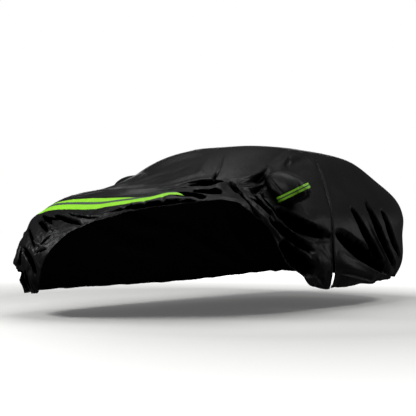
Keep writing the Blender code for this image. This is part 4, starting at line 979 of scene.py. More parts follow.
def coated_cloth(name, colour, worn_colour, roughness, specular, weave_pitch, crinkle_height,
                 seams=(), thread=None):
    """Woven polyester with a thin coat of PU: even black with a soft sheen.

    The weave is about 0.35 mm a thread, too fine for the render, so it is drawn
    wider. Fine crinkles, where the coat has been folded in its bag, catch the light.
    """
    material, tree, shader = start_material(name, colour, roughness, 0.0, specular)
    place = add_node(tree, "ShaderNodeTexCoord")
    metres = place.outputs["Object"]
    dust = add_node(tree, "ShaderNodeTexNoise", None,
                    {"Vector": metres, "Scale": 5.0, "Detail": 6.0, "Roughness": 0.6})
    tint = add_node(tree, "ShaderNodeMix", {"data_type": "RGBA"},
                    {"Factor": dust.outputs["Fac"], "A": colour, "B": worn_colour})
    # Painted shade: ambient occlusion darkens the colour and the gloss in creases, furrows and
    # recesses, where shade falls.
    painted_crevice_shade = add_node(tree, "ShaderNodeAmbientOcclusion", {"samples": 6}, {"Distance": 0.18})
    lit = add_node(tree, "ShaderNodeMapRange", None,
                   {"Value": painted_crevice_shade.outputs["AO"], "From Min": 0.52, "From Max": 0.96,
                    "To Min": 0.02})
    # Painted shade: the hollow map paints the floors of crisp furrows black, colour and gloss
    # alike.
    hollow = add_node(tree, "ShaderNodeUVMap", {"uv_map": "hollow"})
    depth = add_node(tree, "ShaderNodeSeparateXYZ", None, {"Vector": hollow.outputs["UV"]})
    furrow_shade_node = add_node(tree, "ShaderNodeMapRange", None,
                    {"Value": depth.outputs["X"],
                     "From Min": PAINTED_SHADE_EDGE[0], "From Max": PAINTED_SHADE_EDGE[1],
                     "To Min": 1.0, "To Max": PAINTED_SHADE_LEFT})
    # lit is what the two painted shades leave of the colour and the gloss
    lit = add_node(tree, "ShaderNodeMath", {"operation": "MULTIPLY"},
                   {0: lit.outputs["Result"], 1: furrow_shade_node.outputs["Result"]})
    shaded = add_node(tree, "ShaderNodeVectorMath", {"operation": "SCALE"},
                      {0: tint.outputs["Result"], "Scale": lit.outputs["Value"]})
    tree.links.new(shaded.outputs["Vector"], shader.inputs["Base Color"])
    sheen = add_node(tree, "ShaderNodeMath", {"operation": "MULTIPLY"},
                     {0: lit.outputs["Value"], 1: specular})
    tree.links.new(sheen.outputs["Value"], shader.inputs["Specular IOR Level"])
    rough = add_node(tree, "ShaderNodeMapRange", None,
                     {"Value": dust.outputs["Fac"],
                      "To Min": roughness - 0.07, "To Max": roughness + 0.09})
    tree.links.new(rough.outputs["Result"], shader.inputs["Roughness"])
    cloth = add_node(tree, "ShaderNodeUVMap", {"uv_map": "cloth"})
    threads = []
    for direction in ("X", "Y"):
        threads.append(add_node(tree, "ShaderNodeTexWave", {"bands_direction": direction},
                                {"Vector": cloth.outputs["UV"], "Scale": WAVE_BAND / weave_pitch,
                                 "Distortion": 0.4}))
    weave = add_node(tree, "ShaderNodeMath", {"operation": "MAXIMUM"},
                     {0: threads[0].outputs["Fac"], 1: threads[1].outputs["Fac"]})
    crinkle = add_node(tree, "ShaderNodeTexVoronoi", {"feature": "DISTANCE_TO_EDGE"},
                       {"Vector": metres, "Scale": 16.0, "Randomness": 1.0})
    soft = add_node(tree, "ShaderNodeTexNoise", None,
                    {"Vector": metres, "Scale": 34.0, "Detail": 4.0, "Distortion": 0.8})
    creased = add_node(tree, "ShaderNodeMath", {"operation": "MULTIPLY_ADD"},
                       {0: soft.outputs["Fac"], 1: 0.6, 2: crinkle.outputs["Distance"]})
    weave_bump = add_node(tree, "ShaderNodeBump", None,
                          {"Height": weave.outputs["Value"], "Strength": 0.25, "Distance": 0.0004})
    bump = add_node(tree, "ShaderNodeBump", None,
                    {"Height": creased.outputs["Value"], "Normal": weave_bump.outputs["Normal"],
                     "Strength": 0.5, "Distance": crinkle_height})
    tree.links.new(bump.outputs["Normal"], shader.inputs["Normal"])
    spot = add_node(tree, "ShaderNodeSeparateXYZ", None, {"Vector": cloth.outputs["UV"]})
    for line in seams:
        sew(tree, shader, spot.outputs["Y"], spot.outputs["X"], line, thread)
    return material


def plain_back(name, colour):
    """The uncoated back of the cloth: matt, with the weave's fuzz."""
    material, tree, shader = start_material(name, colour, 0.85, 0.0, 0.2)
    place = add_node(tree, "ShaderNodeTexCoord")
    fuzz = add_node(tree, "ShaderNodeTexNoise", None,
                    {"Vector": place.outputs["Object"], "Scale": 60.0, "Detail": 5.0})
    bump = add_node(tree, "ShaderNodeBump", None,
                    {"Height": fuzz.outputs["Fac"], "Strength": 0.3, "Distance": 0.001})
    tree.links.new(bump.outputs["Normal"], shader.inputs["Normal"])
    return material


def reflective_tape(name, green, grey, line, seams, thread):
    """Fluorescent knitted tape with a band of glass beads along its middle."""
    material, tree, shader = start_material(name, green, 0.5, 0.0, 0.4)
    strip = add_node(tree, "ShaderNodeUVMap", {"uv_map": "strip"})
    split = add_node(tree, "ShaderNodeSeparateXYZ", None, {"Vector": strip.outputs["UV"]})
    bands = add_node(tree, "ShaderNodeValToRGB", None, {"Fac": split.outputs["X"]})
    ramp = bands.color_ramp
    stops = [(0.00, green), (0.385, green), (0.405, line), (0.425, grey), (0.595, grey),
             (0.615, line), (0.635, green), (1.00, green)]
    ramp.elements[0].position, ramp.elements[0].color = stops[0]
    ramp.elements[1].position, ramp.elements[1].color = stops[-1]
    for position, colour in stops[1:-1]:
        ramp.elements.new(position).color = colour
    place = add_node(tree, "ShaderNodeTexCoord")
    soil = add_node(tree, "ShaderNodeTexNoise", None,
                    {"Vector": place.outputs["Object"], "Scale": 14.0, "Detail": 5.0})
    shade = add_node(tree, "ShaderNodeMapRange", None,
                     {"Value": soil.outputs["Fac"], "To Min": 0.72, "To Max": 1.08})
    colour = add_node(tree, "ShaderNodeVectorMath", {"operation": "SCALE"},
                      {0: bands.outputs["Color"], "Scale": shade.outputs["Result"]})
    tree.links.new(colour.outputs["Vector"], shader.inputs["Base Color"])
    beads = add_node(tree, "ShaderNodeTexVoronoi", None,
                     {"Vector": place.outputs["Object"], "Scale": 420.0})
    bump = add_node(tree, "ShaderNodeBump", None,
                    {"Height": beads.outputs["Distance"], "Strength": 0.25, "Distance": 0.0004})
    tree.links.new(bump.outputs["Normal"], shader.inputs["Normal"])
    for map_name, width, seam in seams:
        strip = add_node(tree, "ShaderNodeUVMap", {"uv_map": map_name})
        spot = add_node(tree, "ShaderNodeSeparateXYZ", None, {"Vector": strip.outputs["UV"]})
        across = add_node(tree, "ShaderNodeMath", {"operation": "MULTIPLY"},
                          {0: spot.outputs["X"], 1: width})
        sew(tree, shader, across.outputs["Value"], spot.outputs["Y"], seam, thread)
    return material


def ribbed_tape(name, colour):
    """Woven zip tape: matt, with ribs across it."""
    material, tree, shader = start_material(name, colour, 0.60, 0.0, 0.15)
    place = add_node(tree, "ShaderNodeTexCoord")
    ribs = add_node(tree, "ShaderNodeTexWave", {"bands_direction": "Z"},
                    {"Vector": place.outputs["Object"], "Scale": 90.0, "Distortion": 0.5})
    bump = add_node(tree, "ShaderNodeBump", None,
                    {"Height": ribs.outputs["Fac"], "Strength": 0.4, "Distance": 0.0005})
    tree.links.new(bump.outputs["Normal"], shader.inputs["Normal"])
    return material


def moulded(name, colour, roughness, metallic):
    """Moulded acetal teeth, or a die-cast slider with a painted skin: fine grain."""
    material, tree, shader = start_material(name, colour, roughness, metallic)
    place = add_node(tree, "ShaderNodeTexCoord")
    grain = add_node(tree, "ShaderNodeTexNoise", None,
                     {"Vector": place.outputs["Object"], "Scale": 900.0, "Detail": 3.0})
    rough = add_node(tree, "ShaderNodeMapRange", None,
                     {"Value": grain.outputs["Fac"],
                      "To Min": roughness - 0.08, "To Max": roughness + 0.12})
    tree.links.new(rough.outputs["Result"], shader.inputs["Roughness"])
    return material


def studio_floor(name, colour):
    """Matt white board that runs into the white surround."""
    material, tree, shader = start_material(name, colour, 0.9, 0.0, 0.1)
    place = add_node(tree, "ShaderNodeTexCoord")
    distance = add_node(tree, "ShaderNodeVectorMath", {"operation": "LENGTH"},
                        {0: place.outputs["Object"]})
    # Painted light: the board glows faintly under the object, which lifts its shadow, and up to
    # full white further off, where it runs into the white surround.
    floor_painted_glow = add_node(tree, "ShaderNodeMapRange", None,
                    {"Value": distance.outputs["Value"], "From Min": 2.5, "From Max": 6.0,
                     "To Min": PAINTED_FLOOR_GLOW, "To Max": 1.0})
    shader.inputs["Emission Color"].default_value = (1, 1, 1, 1)
    tree.links.new(floor_painted_glow.outputs["Result"], shader.inputs["Emission Strength"])
    cloud = add_node(tree, "ShaderNodeTexNoise", None,
                     {"Vector": place.outputs["Object"], "Scale": 0.8, "Detail": 3.0})
    rough = add_node(tree, "ShaderNodeMapRange", None,
                     {"Value": cloud.outputs["Fac"], "To Min": 0.86, "To Max": 0.94})
    tree.links.new(rough.outputs["Result"], shader.inputs["Roughness"])
    return material


# ==================================================================== pockets
def pocket_form(sign, middle, half_sizes, growth):
    """A closed rounded form of a mirror pocket, grown evenly by a distance."""
    form = bmesh.new()
    bmesh.ops.create_uvsphere(form, u_segments=POCKET_SEGMENTS, v_segments=POCKET_RINGS, radius=1.0)
    for vert in form.verts:
        reach = sum(abs(c) ** POCKET_SQUARENESS for c in vert.co) ** (1 / POCKET_SQUARENESS)
        shape = vert.co / reach
        beyond = max(shape.x, 0.0)
        shape.z *= 1 - 0.16 * beyond
        shape.z -= 0.10 * shape.y * beyond
        vert.co = Vector([place * size for place, size in zip(shape, half_sizes)])
        angle = math.atan2(vert.co.z, vert.co.y)
        vert.co *= 1 - POCKET_FURROW * (0.5 + 0.5 * math.cos(7 * angle + 9 * vert.co.x))
    form.normal_update()
    spots = np.array([vert.co for vert in form.verts])
    normals = np.array([vert.normal for vert in form.verts])
    heights = fold_heights(spots, normals, POCKET_FOLDS)
    heights += 0.0022 * (ridged(spots * (7.0, 16.0, 16.0) + sign) - 0.3)
    for vert, spot in zip(form.verts, spots + normals * heights[:, None]):
        vert.co = spot
    place = Matrix.Translation(in_frame(middle)) @ Matrix.Rotation(POCKET_TURN, 4, "Y")
    bmesh.ops.transform(form, matrix=place, verts=form.verts)
    for vert in form.verts:
        below = -band_height(vert.co, middle) - POCKET_STRIP_WIDTH / 2
        vert.co.z += POCKET_TUCK * max(below, 0.0)
    if sign < 0:
        bmesh.ops.scale(form, vec=(-1, 1, 1), verts=form.verts)
    bmesh.ops.recalc_face_normals(form, faces=form.faces)
    form.normal_update()
    places = [vert.co + vert.normal * growth for vert in form.verts]
    for vert, spot in zip(form.verts, places):
        vert.co = spot
    layer = form.loops.layers.uv.new("cloth")
    for face in form.faces:
        for loop in face.loops:
            loop[layer].uv = (loop.vert.co.y + loop.vert.co.x, loop.vert.co.z)
    return form


def object_from(form, name, *materials):
    mesh = bpy.data.meshes.new(name)
    form.to_mesh(mesh)
    form.free()
    return make_object(name, mesh, *materials)


def build_pocket(side, sign, middle, half_sizes, material):
    """A hollow pocket, open to the inside."""
    form = pocket_form(sign, middle, half_sizes, 0.0)
    top = in_frame((sign * POCKET_MOUTH[0], 0, POCKET_MOUTH[1]))
    foot = in_frame((sign * POCKET_MOUTH_FOOT[0], 0, POCKET_MOUTH_FOOT[1]))
    down = foot - top
    inward = Vector((down.z * sign, 0, -down.x * sign)).normalized()
    geometry = form.verts[:] + form.edges[:] + form.faces[:]
    bmesh.ops.bisect_plane(form, geom=geometry, plane_co=top, plane_no=inward, clear_outer=True)
    return object_from(form, "mirror_pocket_" + side + "_cloth", material)


def band_axes():
    """Directions along and across the pocket strip, level with the side it looks straight from."""
    out = Vector((math.cos(POCKET_STRIP_TURN), math.sin(POCKET_STRIP_TURN), 0.0))
    up = Vector((0.0, 0.0, 1.0))
    along = (out + up * POCKET_STRIP_SLOPE).normalized()
    across = (up - out * POCKET_STRIP_SLOPE).normalized()
    return out, up, along, across


def band_centre(middle):
    out, up, _, _ = band_axes()
    return in_frame(middle) + out * POCKET_STRIP_PLACE[0] + up * POCKET_STRIP_PLACE[1]


def band_height(spot, middle):
    """How far a point of the left pocket lies above the middle line of its strip."""
    return (spot - band_centre(middle)).dot(band_axes()[3])


def pocket_band(side, sign, middle):
    """A solid that cuts the strip out of the pocket's face."""
    out, up, along, across = band_axes()
    forward = out.cross(up)
    centre = band_centre(middle)
    form = bmesh.new()
    corners = []
    for end, rise in ((0, -1), (1, -1), (1, 1), (0, 1)):
        corner = centre + along * POCKET_STRIP_ENDS[side][end]
        corners.append(corner + across * rise * POCKET_STRIP_WIDTH / 2)
    face = form.faces.new([form.verts.new(corner) for corner in corners])
    grown = bmesh.ops.extrude_face_region(form, geom=[face])
    tops = [item for item in grown["geom"] if isinstance(item, bmesh.types.BMVert)]
    bmesh.ops.translate(form, verts=tops, vec=forward * BAND_CUT)
    if sign < 0:
        bmesh.ops.scale(form, vec=(-1, 1, 1), verts=form.verts)
    bmesh.ops.recalc_face_normals(form, faces=form.faces)
    return object_from(form, "band")


# ================================================================= door zip
def zip_line(height):
    """The zip's y at a height: straight runs between its named points."""
    points = [ZIP_BOTTOM, SLIT_BEND, ZIP_SLIT_TOP, ZIP_TOP]
    heights = [point[1] for point in points]
    return float(np.interp(height, heights, [point[0] for point in points]))


def slit_half_width(height):
    heights = [ZIP_BOTTOM[1], SLIT_BEND[1], ZIP_SLIT_TOP[1]]
    return float(np.interp(height, heights, [SLIT_HALF_WIDTH, SLIT_BEND_HALF_WIDTH, 0.0]))


def slit_outline():
    heights = np.linspace(ZIP_BOTTOM[1] - BELOW_HEM, ZIP_SLIT_TOP[1], 9)
    front = [(zip_line(h) - slit_half_width(h), h) for h in heights]
    rear = [(zip_line(h) + slit_half_width(h), h) for h in heights[:-1]]
    return front + rear[::-1]


def tape_edge(side, height, inset=0.0):
    """The y of a tape's inner edge at a height, or of a line further in on the tape."""
    edge = slit_half_width(height)
    setback = TAPE_SETBACK if edge > TAPE_SETBACK else TAPE_PARTING
    return zip_line(height) + side * (edge + setback + inset)


def tape_outline(side):
    """One tape of the zip: side -1 is the front one, +1 the rear one."""
    heights = np.linspace(ZIP_BOTTOM[1] - BELOW_HEM, ZIP_TOP[1], 16)
    inner = [(tape_edge(side, h), h) for h in heights]
    outer = [(tape_edge(side, h, TAPE_WIDTH), h) for h in heights]
    return inner + outer[::-1]


def cloth_surface(sheet):
    """The sheet as a tree for casting rays."""
    return BVHTree.FromPolygons([vert.co for vert in sheet.data.vertices],
                                [face.vertices for face in sheet.data.polygons])


def on_cloth(surface, y, height):
    """The cloth's place and outward direction on the left side, or None below its hem."""
    spot, normal, _, _ = surface.ray_cast(in_frame((SIDE_REACH[1], y, height)), Vector((-1, 0, 0)))
    if spot is None or spot.x < SIDE_REACH[0]:
        return None
    return spot, normal


def block(name, size, middle, bevel, steps):
    """A box with rounded edges."""
    bpy.ops.object.select_all(action="DESELECT")
    bpy.ops.mesh.primitive_cube_add(size=1.0)
    piece = bpy.context.active_object
    piece.name = name
    bpy.ops.object.mode_set(mode="EDIT")
    bpy.ops.mesh.select_all(action="SELECT")
    bpy.ops.transform.resize(value=size)
    bpy.ops.transform.translate(value=middle)
    bpy.ops.object.mode_set(mode="OBJECT")
    rounding = piece.modifiers.new("Rounding", "BEVEL")
    rounding.width = bevel
    rounding.segments = steps
    return apply_modifiers(piece)


def teeth_places(surface, side):
    """Where one tape's teeth sit: evenly along its edge, the rear ones half a pitch on."""
    heights = np.linspace(ZIP_BOTTOM[1], ZIP_TOP[1], 400)
    found = [on_cloth(surface, tape_edge(side, h, TOOTH_INSET), h) for h in heights]
    found = [hit for hit in found if hit]
    spots = np.array([hit[0] for hit in found])
    normals = np.array([hit[1] for hit in found])
    run = np.concatenate([[0], np.cumsum(np.linalg.norm(np.diff(spots, axis=0), axis=1))])
    first = TEETH_ABOVE_HEM + (TOOTH_PITCH / 2 if side > 0 else 0)
    places = np.arange(first, run[-1] - TOOTH_PITCH, TOOTH_PITCH)
    pick = np.stack([np.interp(places, run, column) for column in spots.T], -1)
    out = unit(np.stack([np.interp(places, run, column) for column in normals.T], -1))
    along = unit(np.gradient(pick, axis=0))
    return pick, along, out


def build_teeth(name, surface, side, stand_off, material):
    """A row of moulded teeth, one block copied along the tape's edge."""
    tooth = block("tooth", TOOTH_SIZE, (0, 0, 0), TOOTH_BEVEL, TOOTH_BEVEL_STEPS)
    copies = []
    for spot, along, out in zip(*teeth_places(surface, side)):
        across = unit(np.cross(along, out))
        out = np.cross(across, along)
        turn = Matrix((across, along, out)).transposed().to_4x4()
        turn.translation = Vector(spot + out * (stand_off + TOOTH_SIZE[2] / 2))
        copy = make_object(name, tooth.data.copy(), material)
        copy.data.transform(turn)
        copies.append(copy)
    drop(tooth)
    bpy.ops.object.select_all(action="DESELECT")
    for copy in copies:
        copy.select_set(True)
    bpy.context.view_layer.objects.active = copies[0]
    bpy.ops.object.join()
    row = bpy.context.active_object
    row.name = name
    return row


def build_slider(surface, stand_off, material):
    """The slider at the top of the slit: a body, a bridge on it and the hanging pull."""
    slider = None
    for name, size, middle, bevel in SLIDER_PARTS:
        part = block(name, size, middle, bevel, SLIDER_BEVEL_STEPS)
        if slider is None:
            slider = part
        else:
            cut(slider, "UNION", part)
            drop(part)
    spot, normal = on_cloth(surface, ZIP_SLIT_TOP[0], ZIP_SLIT_TOP[1] + SLIDER_RISE)
    turn = Vector((1, 0, 0)).rotation_difference(normal).to_matrix().to_4x4()
    turn.translation = spot + normal * (stand_off + SLIDER_HALF_DEPTH)
    slider.data.transform(turn)
    slider.name = "zip_slider_cast"
    slider.data.materials.clear()
    slider.data.materials.append(material)
    return slider


# ============================================================ the reflective strips
def curve_through(points, count):
    """A smooth line through a table's points."""
    points = np.array(points)
    steps = np.concatenate([[0], np.cumsum(np.linalg.norm(np.diff(points, axis=0), axis=1))])
    slopes = np.gradient(points, steps, axis=0)
    places = np.linspace(0, steps[-1], count)
    index = np.clip(np.searchsorted(steps, places, side="right") - 1, 0, len(steps) - 2)
    span = (steps[index + 1] - steps[index])[:, None]
    t = (places - steps[index])[:, None] / span
    return ((2 * t**3 - 3 * t**2 + 1) * points[index] + (t**3 - 2 * t**2 + t) * span * slopes[index]
            + (3 * t**2 - 2 * t**3) * points[index + 1] + (t**3 - t**2) * span * slopes[index + 1])


def distance_to_line(spot, line):
    """Least distance from a point to a line of points, in plan."""
    start, run = line[:-1], np.diff(line, axis=0)
    t = np.clip(((spot - start) * run).sum(1) / (run * run).sum(1), 0, 1)
    return float(np.linalg.norm(spot - start - t[:, None] * run, axis=1).min())


# ================================================================ the settings
class CoverSizes(bpy.types.PropertyGroup):
    cloth_thickness: FloatProperty(
        name="Cloth thickness", description="Thickness of the coated cloth as drawn",
        default=0.0012, min=0.0003, max=0.003, unit="LENGTH")
    sheet_faces: IntProperty(
        name="Sheet faces", description="Triangles left in the sheet's outer face",
        default=92000, min=20000, max=98000)
    hem_width: FloatProperty(
        name="Hem width", description="Width of the turned hem that holds the elastic",
        default=0.026, min=0.010, max=0.060, unit="LENGTH")
    hem_radius: FloatProperty(
        name="Hem radius", description="Radius of the hem's rolled edge",
        default=0.0035, min=0.002, max=0.010, unit="LENGTH")
    strip_thickness: FloatProperty(
        name="Strip thickness", description="Thickness of the reflective strips",
        default=0.0010, min=0.0005, max=0.003, unit="LENGTH")
    tape_thickness: FloatProperty(
        name="Zip tape thickness", description="Thickness of the zip's two tapes",
        default=0.0009, min=0.0005, max=0.003, unit="LENGTH")
    pocket_thickness: FloatProperty(
        name="Pocket thickness", description="Thickness of the pockets' cloth as drawn",
        default=0.0012, min=0.0003, max=0.003, unit="LENGTH")


class CoverColours(bpy.types.PropertyGroup):
    cloth: FloatVectorProperty(
        name="Cloth", description="Colour of the coated cloth", subtype="COLOR", size=4,
        default=linear("#0f0f11"), min=0.0, max=1.0)
    cloth_worn: FloatVectorProperty(
        name="Cloth, worn", description="Colour where the coat is rubbed or dusty", subtype="COLOR",
        size=4, default=linear("#161618"), min=0.0, max=1.0)
    back: FloatVectorProperty(
        name="Back of the cloth", description="Colour of its uncoated back",
        subtype="COLOR", size=4, default=linear("#1c1c1e"), min=0.0, max=1.0)
    pocket: FloatVectorProperty(
        name="Pocket cloth", description="Colour of the mirror pockets", subtype="COLOR", size=4,
        default=linear("#18191b"), min=0.0, max=1.0)
    green: FloatVectorProperty(
        name="Strip edge", description="Fluorescent edges of the strips", subtype="COLOR", size=4,
        default=linear("#9ef032"), min=0.0, max=1.0)
    grey: FloatVectorProperty(
        name="Strip middle", description="Reflective band along the strips",
        subtype="COLOR", size=4, default=linear("#4b5657"), min=0.0, max=1.0)
    line: FloatVectorProperty(
        name="Strip line", description="Seam between the strips' bands", subtype="COLOR", size=4,
        default=linear("#2c3a24"), min=0.0, max=1.0)
    tape: FloatVectorProperty(
        name="Zip tape", description="Colour of the zip's tapes", subtype="COLOR", size=4,
        default=linear("#0d0d0f"), min=0.0, max=1.0)
    teeth: FloatVectorProperty(
        name="Zip teeth", description="Colour of the zip's teeth", subtype="COLOR", size=4,
        default=linear("#26272a"), min=0.0, max=1.0)
    slider: FloatVectorProperty(
        name="Slider", description="Colour of the zip's slider", subtype="COLOR", size=4,
        default=linear("#3a3b3d"), min=0.0, max=1.0)
    thread: FloatVectorProperty(
        name="Thread", description="Colour of the sewing thread", subtype="COLOR", size=4,
        default=linear("#303134"), min=0.0, max=1.0)
    thread_green: FloatVectorProperty(
        name="Thread, strips", description="Colour of the thread in the strips", subtype="COLOR",
        size=4, default=linear("#7fb83a"), min=0.0, max=1.0)
    floor: FloatVectorProperty(
        name="Floor", description="Colour of the studio's floor", subtype="COLOR", size=4,
        default=linear("#e8e8e6"), min=0.0, max=1.0)


# =============================================================== the operators
class BuildCover(bpy.types.Operator):
    """Build the draped sheet with its folds, turned hem, door slit and pocket holes"""
    bl_idname = "car_cover.build_sheet"
    bl_label = "Draped sheet"

    def execute(self, context):
        sizes = context.scene.cover_sizes
        colours = context.scene.cover_colours
        cloth = coated_cloth("coated polyester, woven", colours.cloth, colours.cloth_worn,
                             0.40, 0.20, 0.0012, 0.0030, HEM_SEAMS, colours.thread)
        back = plain_back("uncoated polyester back", colours.back)
        sheet = make_object("sheet", sheet_mesh(*sheet_grid()), cloth, back)
        thinning = sheet.modifiers.new("Thin out", "DECIMATE")
        thinning.ratio = sizes.sheet_faces / (2 * len(sheet.data.polygons))
        apply_modifiers(sheet)
        cover = make_object("cover_cloth", sheet.data.copy(), cloth, back)
        thicken(cover, sizes.cloth_thickness, -1.0, 1)
        slit = prism("slit", slit_outline(), *SIDE_REACH, "X")
        cut(cover, "DIFFERENCE", slit)
        drop(slit)
        for side, sign, middle, half_sizes in POCKETS:
            hole = object_from(pocket_form(sign, middle, half_sizes, SEAT_GAP), "hole")
            cut(cover, "DIFFERENCE", hole)
            drop(hole)
        smooth(cover, 70)
        finish_piece(cover, "cover_cloth", "cover")
        return {"FINISHED"}


class BuildPockets(bpy.types.Operator):
    """Build the two mirror pockets with their gathers"""
    bl_idname = "car_cover.build_pockets"
    bl_label = "Mirror pockets"

    def execute(self, context):
        sizes = context.scene.cover_sizes
        colours = context.scene.cover_colours
        cloth = coated_cloth("coated polyester, pocket", colours.pocket, colours.cloth_worn,
                             0.44, 0.18, 0.0009, 0.0014)
        for side, sign, middle, half_sizes in POCKETS:
            pocket = build_pocket(side, sign, middle, half_sizes, cloth)
            make_object("pocket_face_" + side, pocket.data.copy(), cloth)
            thicken(pocket, sizes.pocket_thickness, -1.0)
            smooth(pocket, 60)
            finish_piece(pocket, "pocket_cloth", "mirror_pocket_" + side)
        return {"FINISHED"}


class BuildStrips(bpy.types.Operator):
    """Lay the reflective strips on the bonnet and the pockets"""
    bl_idname = "car_cover.build_strips"
    bl_label = "Reflective strips"

    def execute(self, context):
        sizes = context.scene.cover_sizes
        colours = context.scene.cover_colours
        bands = (colours.green, colours.grey, colours.line)
        film = reflective_tape("reflective tape, knitted back", *bands, BONNET_SEAMS,
                               colours.thread_green)
        sheet = bpy.data.objects["sheet"]
        rear = curve_through(STRIP_REAR_EDGE, STRIP_EDGE_POINTS)
        front = curve_through(STRIP_FRONT_EDGE, STRIP_EDGE_POINTS)
        outline = [tuple(p) for p in rear] + [tuple(p) for p in front[-2::-1]]
        cutter = prism("bonnet_outline", outline, *BONNET_REACH, "Z")
        strip = patch("bonnet_strip_tape", sheet, cutter,
                      lambda spot: spot.y < BONNET_PART[0] and abs(spot.x) < BONNET_PART[1],
                      sizes.strip_thickness, film)

        def across_bonnet(spot):
            place = np.array(spot[:2])
            return distance_to_line(place, front) / STRIP_BAND, spot.x

        set_places(strip.data, "strip", across_bonnet)
        set_places(strip.data, "strip_rear",
                   lambda spot: (distance_to_line(np.array(spot[:2]), rear), spot.x))
        smooth(strip, 50)
        finish_piece(strip, "reflective_strip", "bonnet_strip")
        film = reflective_tape("reflective tape, pockets", *bands, POCKET_SEAMS,
                               colours.thread_green)
        for side, sign, middle, half_sizes in POCKETS:
            face = bpy.data.objects["pocket_face_" + side]
            cutter = pocket_band(side, sign, middle)
            band = patch("pocket_strip_" + side + "_tape", face, cutter,
                         lambda spot: spot.y < middle[1] + POCKET_STRIP_DEPTH,
                         sizes.strip_thickness, film)

            def across_band(spot):
                left = Vector((sign * spot.x, spot.y, spot.z))
                run = (left - band_centre(middle)).dot(band_axes()[2])
                return band_height(left, middle) / POCKET_STRIP_WIDTH + 0.5, run

            set_places(band.data, "strip", across_band)
            smooth(band, 50)
            finish_piece(band, "reflective_strip", "pocket_strip_" + side)
        return {"FINISHED"}


class BuildZip(bpy.types.Operator):
    """Build the door zip's tapes, teeth and slider"""
    bl_idname = "car_cover.build_zip"
    bl_label = "Door zip"

    def execute(self, context):
        sizes = context.scene.cover_sizes
        colours = context.scene.cover_colours
        sheet = bpy.data.objects["sheet"]
        tape = ribbed_tape("woven polyester zip tape", colours.tape)
        for name, side in (("front", -1), ("rear", 1)):
            cutter = prism("tape_outline", tape_outline(side), *SIDE_REACH, "X")
            piece = patch("zip_tape_" + name + "_woven", sheet, cutter,
                          lambda spot: spot.x > ZIP_PART[0] and ZIP_PART[1] < spot.y < ZIP_PART[2],
                          sizes.tape_thickness, tape)
            smooth(piece, 50)
            finish_piece(piece, "zip_tape", "zip_tape_" + name)
        surface = cloth_surface(sheet)
        stand_off = SEAT_GAP + sizes.tape_thickness
        acetal = moulded("moulded acetal teeth", colours.teeth, 0.42, 0.0)
        for name, side in (("front", -1), ("rear", 1)):
            teeth = build_teeth("zip_teeth_" + name, surface, side, stand_off, acetal)
            smooth(teeth, 30)
            finish_piece(teeth, "zip_tape")
        cast = moulded("die-cast zinc, painted", colours.slider, 0.38, 0.8)
        slider = build_slider(surface, stand_off, cast)
        smooth(slider, 35)
        finish_piece(slider, "zip_slider", "zip_slider")
        return {"FINISHED"}


class BuildStage(bpy.types.Operator):
    """Set up the floor, the soft lights and the camera"""
    bl_idname = "car_cover.build_stage"
    bl_label = "Stage"

    def execute(self, context):
        scene = context.scene
        colours = scene.cover_colours
        bpy.ops.object.select_all(action="DESELECT")
        bpy.ops.mesh.primitive_plane_add(size=160.0, location=(0, 0, -ROOF_UNDERSIDE))
        floor = context.active_object
        floor.name = "floor"
        floor.data.materials.append(studio_floor("matt pale board", colours.floor))
        floor.visible_diffuse = False       # the board throws no light back on the cloth
        floor.visible_glossy = False
        scene.world = studio_world()
        for name, place, aim, size, power in LIGHTS:
            light = bpy.data.lights.new(name, "AREA")
            light.shape = "RECTANGLE"
            light.size, light.size_y = size
            light.energy = power
            lamp = bpy.data.objects.new(name, light)
            scene.collection.objects.link(lamp)
            lamp.location = place
            lamp.visible_camera = False
            lamp.rotation_mode = "QUATERNION"
            lamp.rotation_quaternion = (Vector(aim) - Vector(place)).to_track_quat("-Z", "Y")
        make_camera(scene)
        scene.view_settings.view_transform = "Standard"
        return {"FINISHED"}


def studio_world():
    """White behind the object, and a much dimmer grey for its light."""
    world = bpy.data.worlds.new("studio")
    world.use_nodes = True
    tree = world.node_tree
    seen = add_node(tree, "ShaderNodeLightPath")
    strength = add_node(tree, "ShaderNodeMapRange", None,
                        {"Value": seen.outputs["Is Camera Ray"], "To Min": WORLD_LIGHT,
                         "To Max": 1.0})
    back = tree.nodes["Background"]
    back.inputs["Color"].default_value = (1, 1, 1, 1)
    tree.links.new(strength.outputs["Result"], back.inputs["Strength"])
    return world


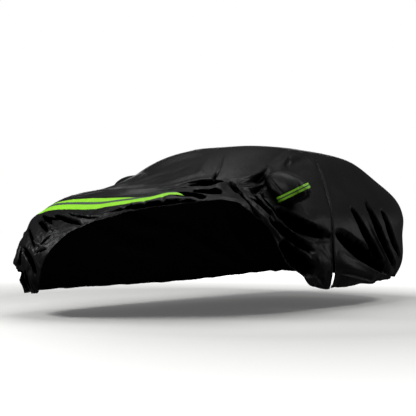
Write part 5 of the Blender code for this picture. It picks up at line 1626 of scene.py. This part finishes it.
def make_camera(scene):
    data = bpy.data.cameras.new("camera")
    camera = bpy.data.objects.new("camera", data)
    scene.collection.objects.link(camera)
    data.sensor_width = 36.0
    data.lens = CAMERA_LENS
    ahead = Vector((-math.sin(CAMERA_YAW) * math.cos(CAMERA_PITCH),
                    math.cos(CAMERA_YAW) * math.cos(CAMERA_PITCH), -math.sin(CAMERA_PITCH)))
    right = Vector((math.cos(CAMERA_YAW), math.sin(CAMERA_YAW), 0.0))
    up = right.cross(ahead)
    rolled_right = math.cos(CAMERA_ROLL) * right + math.sin(CAMERA_ROLL) * up
    rolled_up = -math.sin(CAMERA_ROLL) * right + math.cos(CAMERA_ROLL) * up
    matrix = Matrix((rolled_right, rolled_up, -ahead)).transposed().to_4x4()
    matrix.translation = in_frame(CAMERA_PLACE)
    camera.matrix_world = matrix
    scene.camera = camera


class CarCoverPanel(bpy.types.Panel):
    """Sizes, colours and buttons of the car cover"""
    bl_idname = "VIEW3D_PT_car_cover"
    bl_label = "Car cover"
    bl_space_type = "VIEW_3D"
    bl_region_type = "UI"
    bl_category = "Car cover"

    def draw(self, context):
        layout = self.layout
        for group in (context.scene.cover_sizes, context.scene.cover_colours):
            for name in group.bl_rna.properties.keys():
                if name not in ("rna_type", "name"):
                    layout.prop(group, name)
        for operator in OPERATORS:
            layout.operator(operator.bl_idname)


OPERATORS = (BuildCover, BuildPockets, BuildStrips, BuildZip, BuildStage)
CLASSES = (CoverSizes, CoverColours, *OPERATORS, CarCoverPanel)


def register():
    for kind in CLASSES:
        bpy.utils.register_class(kind)
    bpy.types.Scene.cover_sizes = PointerProperty(type=CoverSizes)
    bpy.types.Scene.cover_colours = PointerProperty(type=CoverColours)


def unregister():
    del bpy.types.Scene.cover_colours
    del bpy.types.Scene.cover_sizes
    for kind in reversed(CLASSES):
        bpy.utils.unregister_class(kind)


def main():
    register()
    bpy.ops.car_cover.build_sheet()
    bpy.ops.car_cover.build_pockets()
    bpy.ops.car_cover.build_strips()
    bpy.ops.car_cover.build_zip()
    bpy.ops.car_cover.build_stage()
    drop(bpy.data.objects["sheet"])
    for side, *_ in POCKETS:
        drop(bpy.data.objects["pocket_face_" + side])


if __name__ == "__main__":
    main()
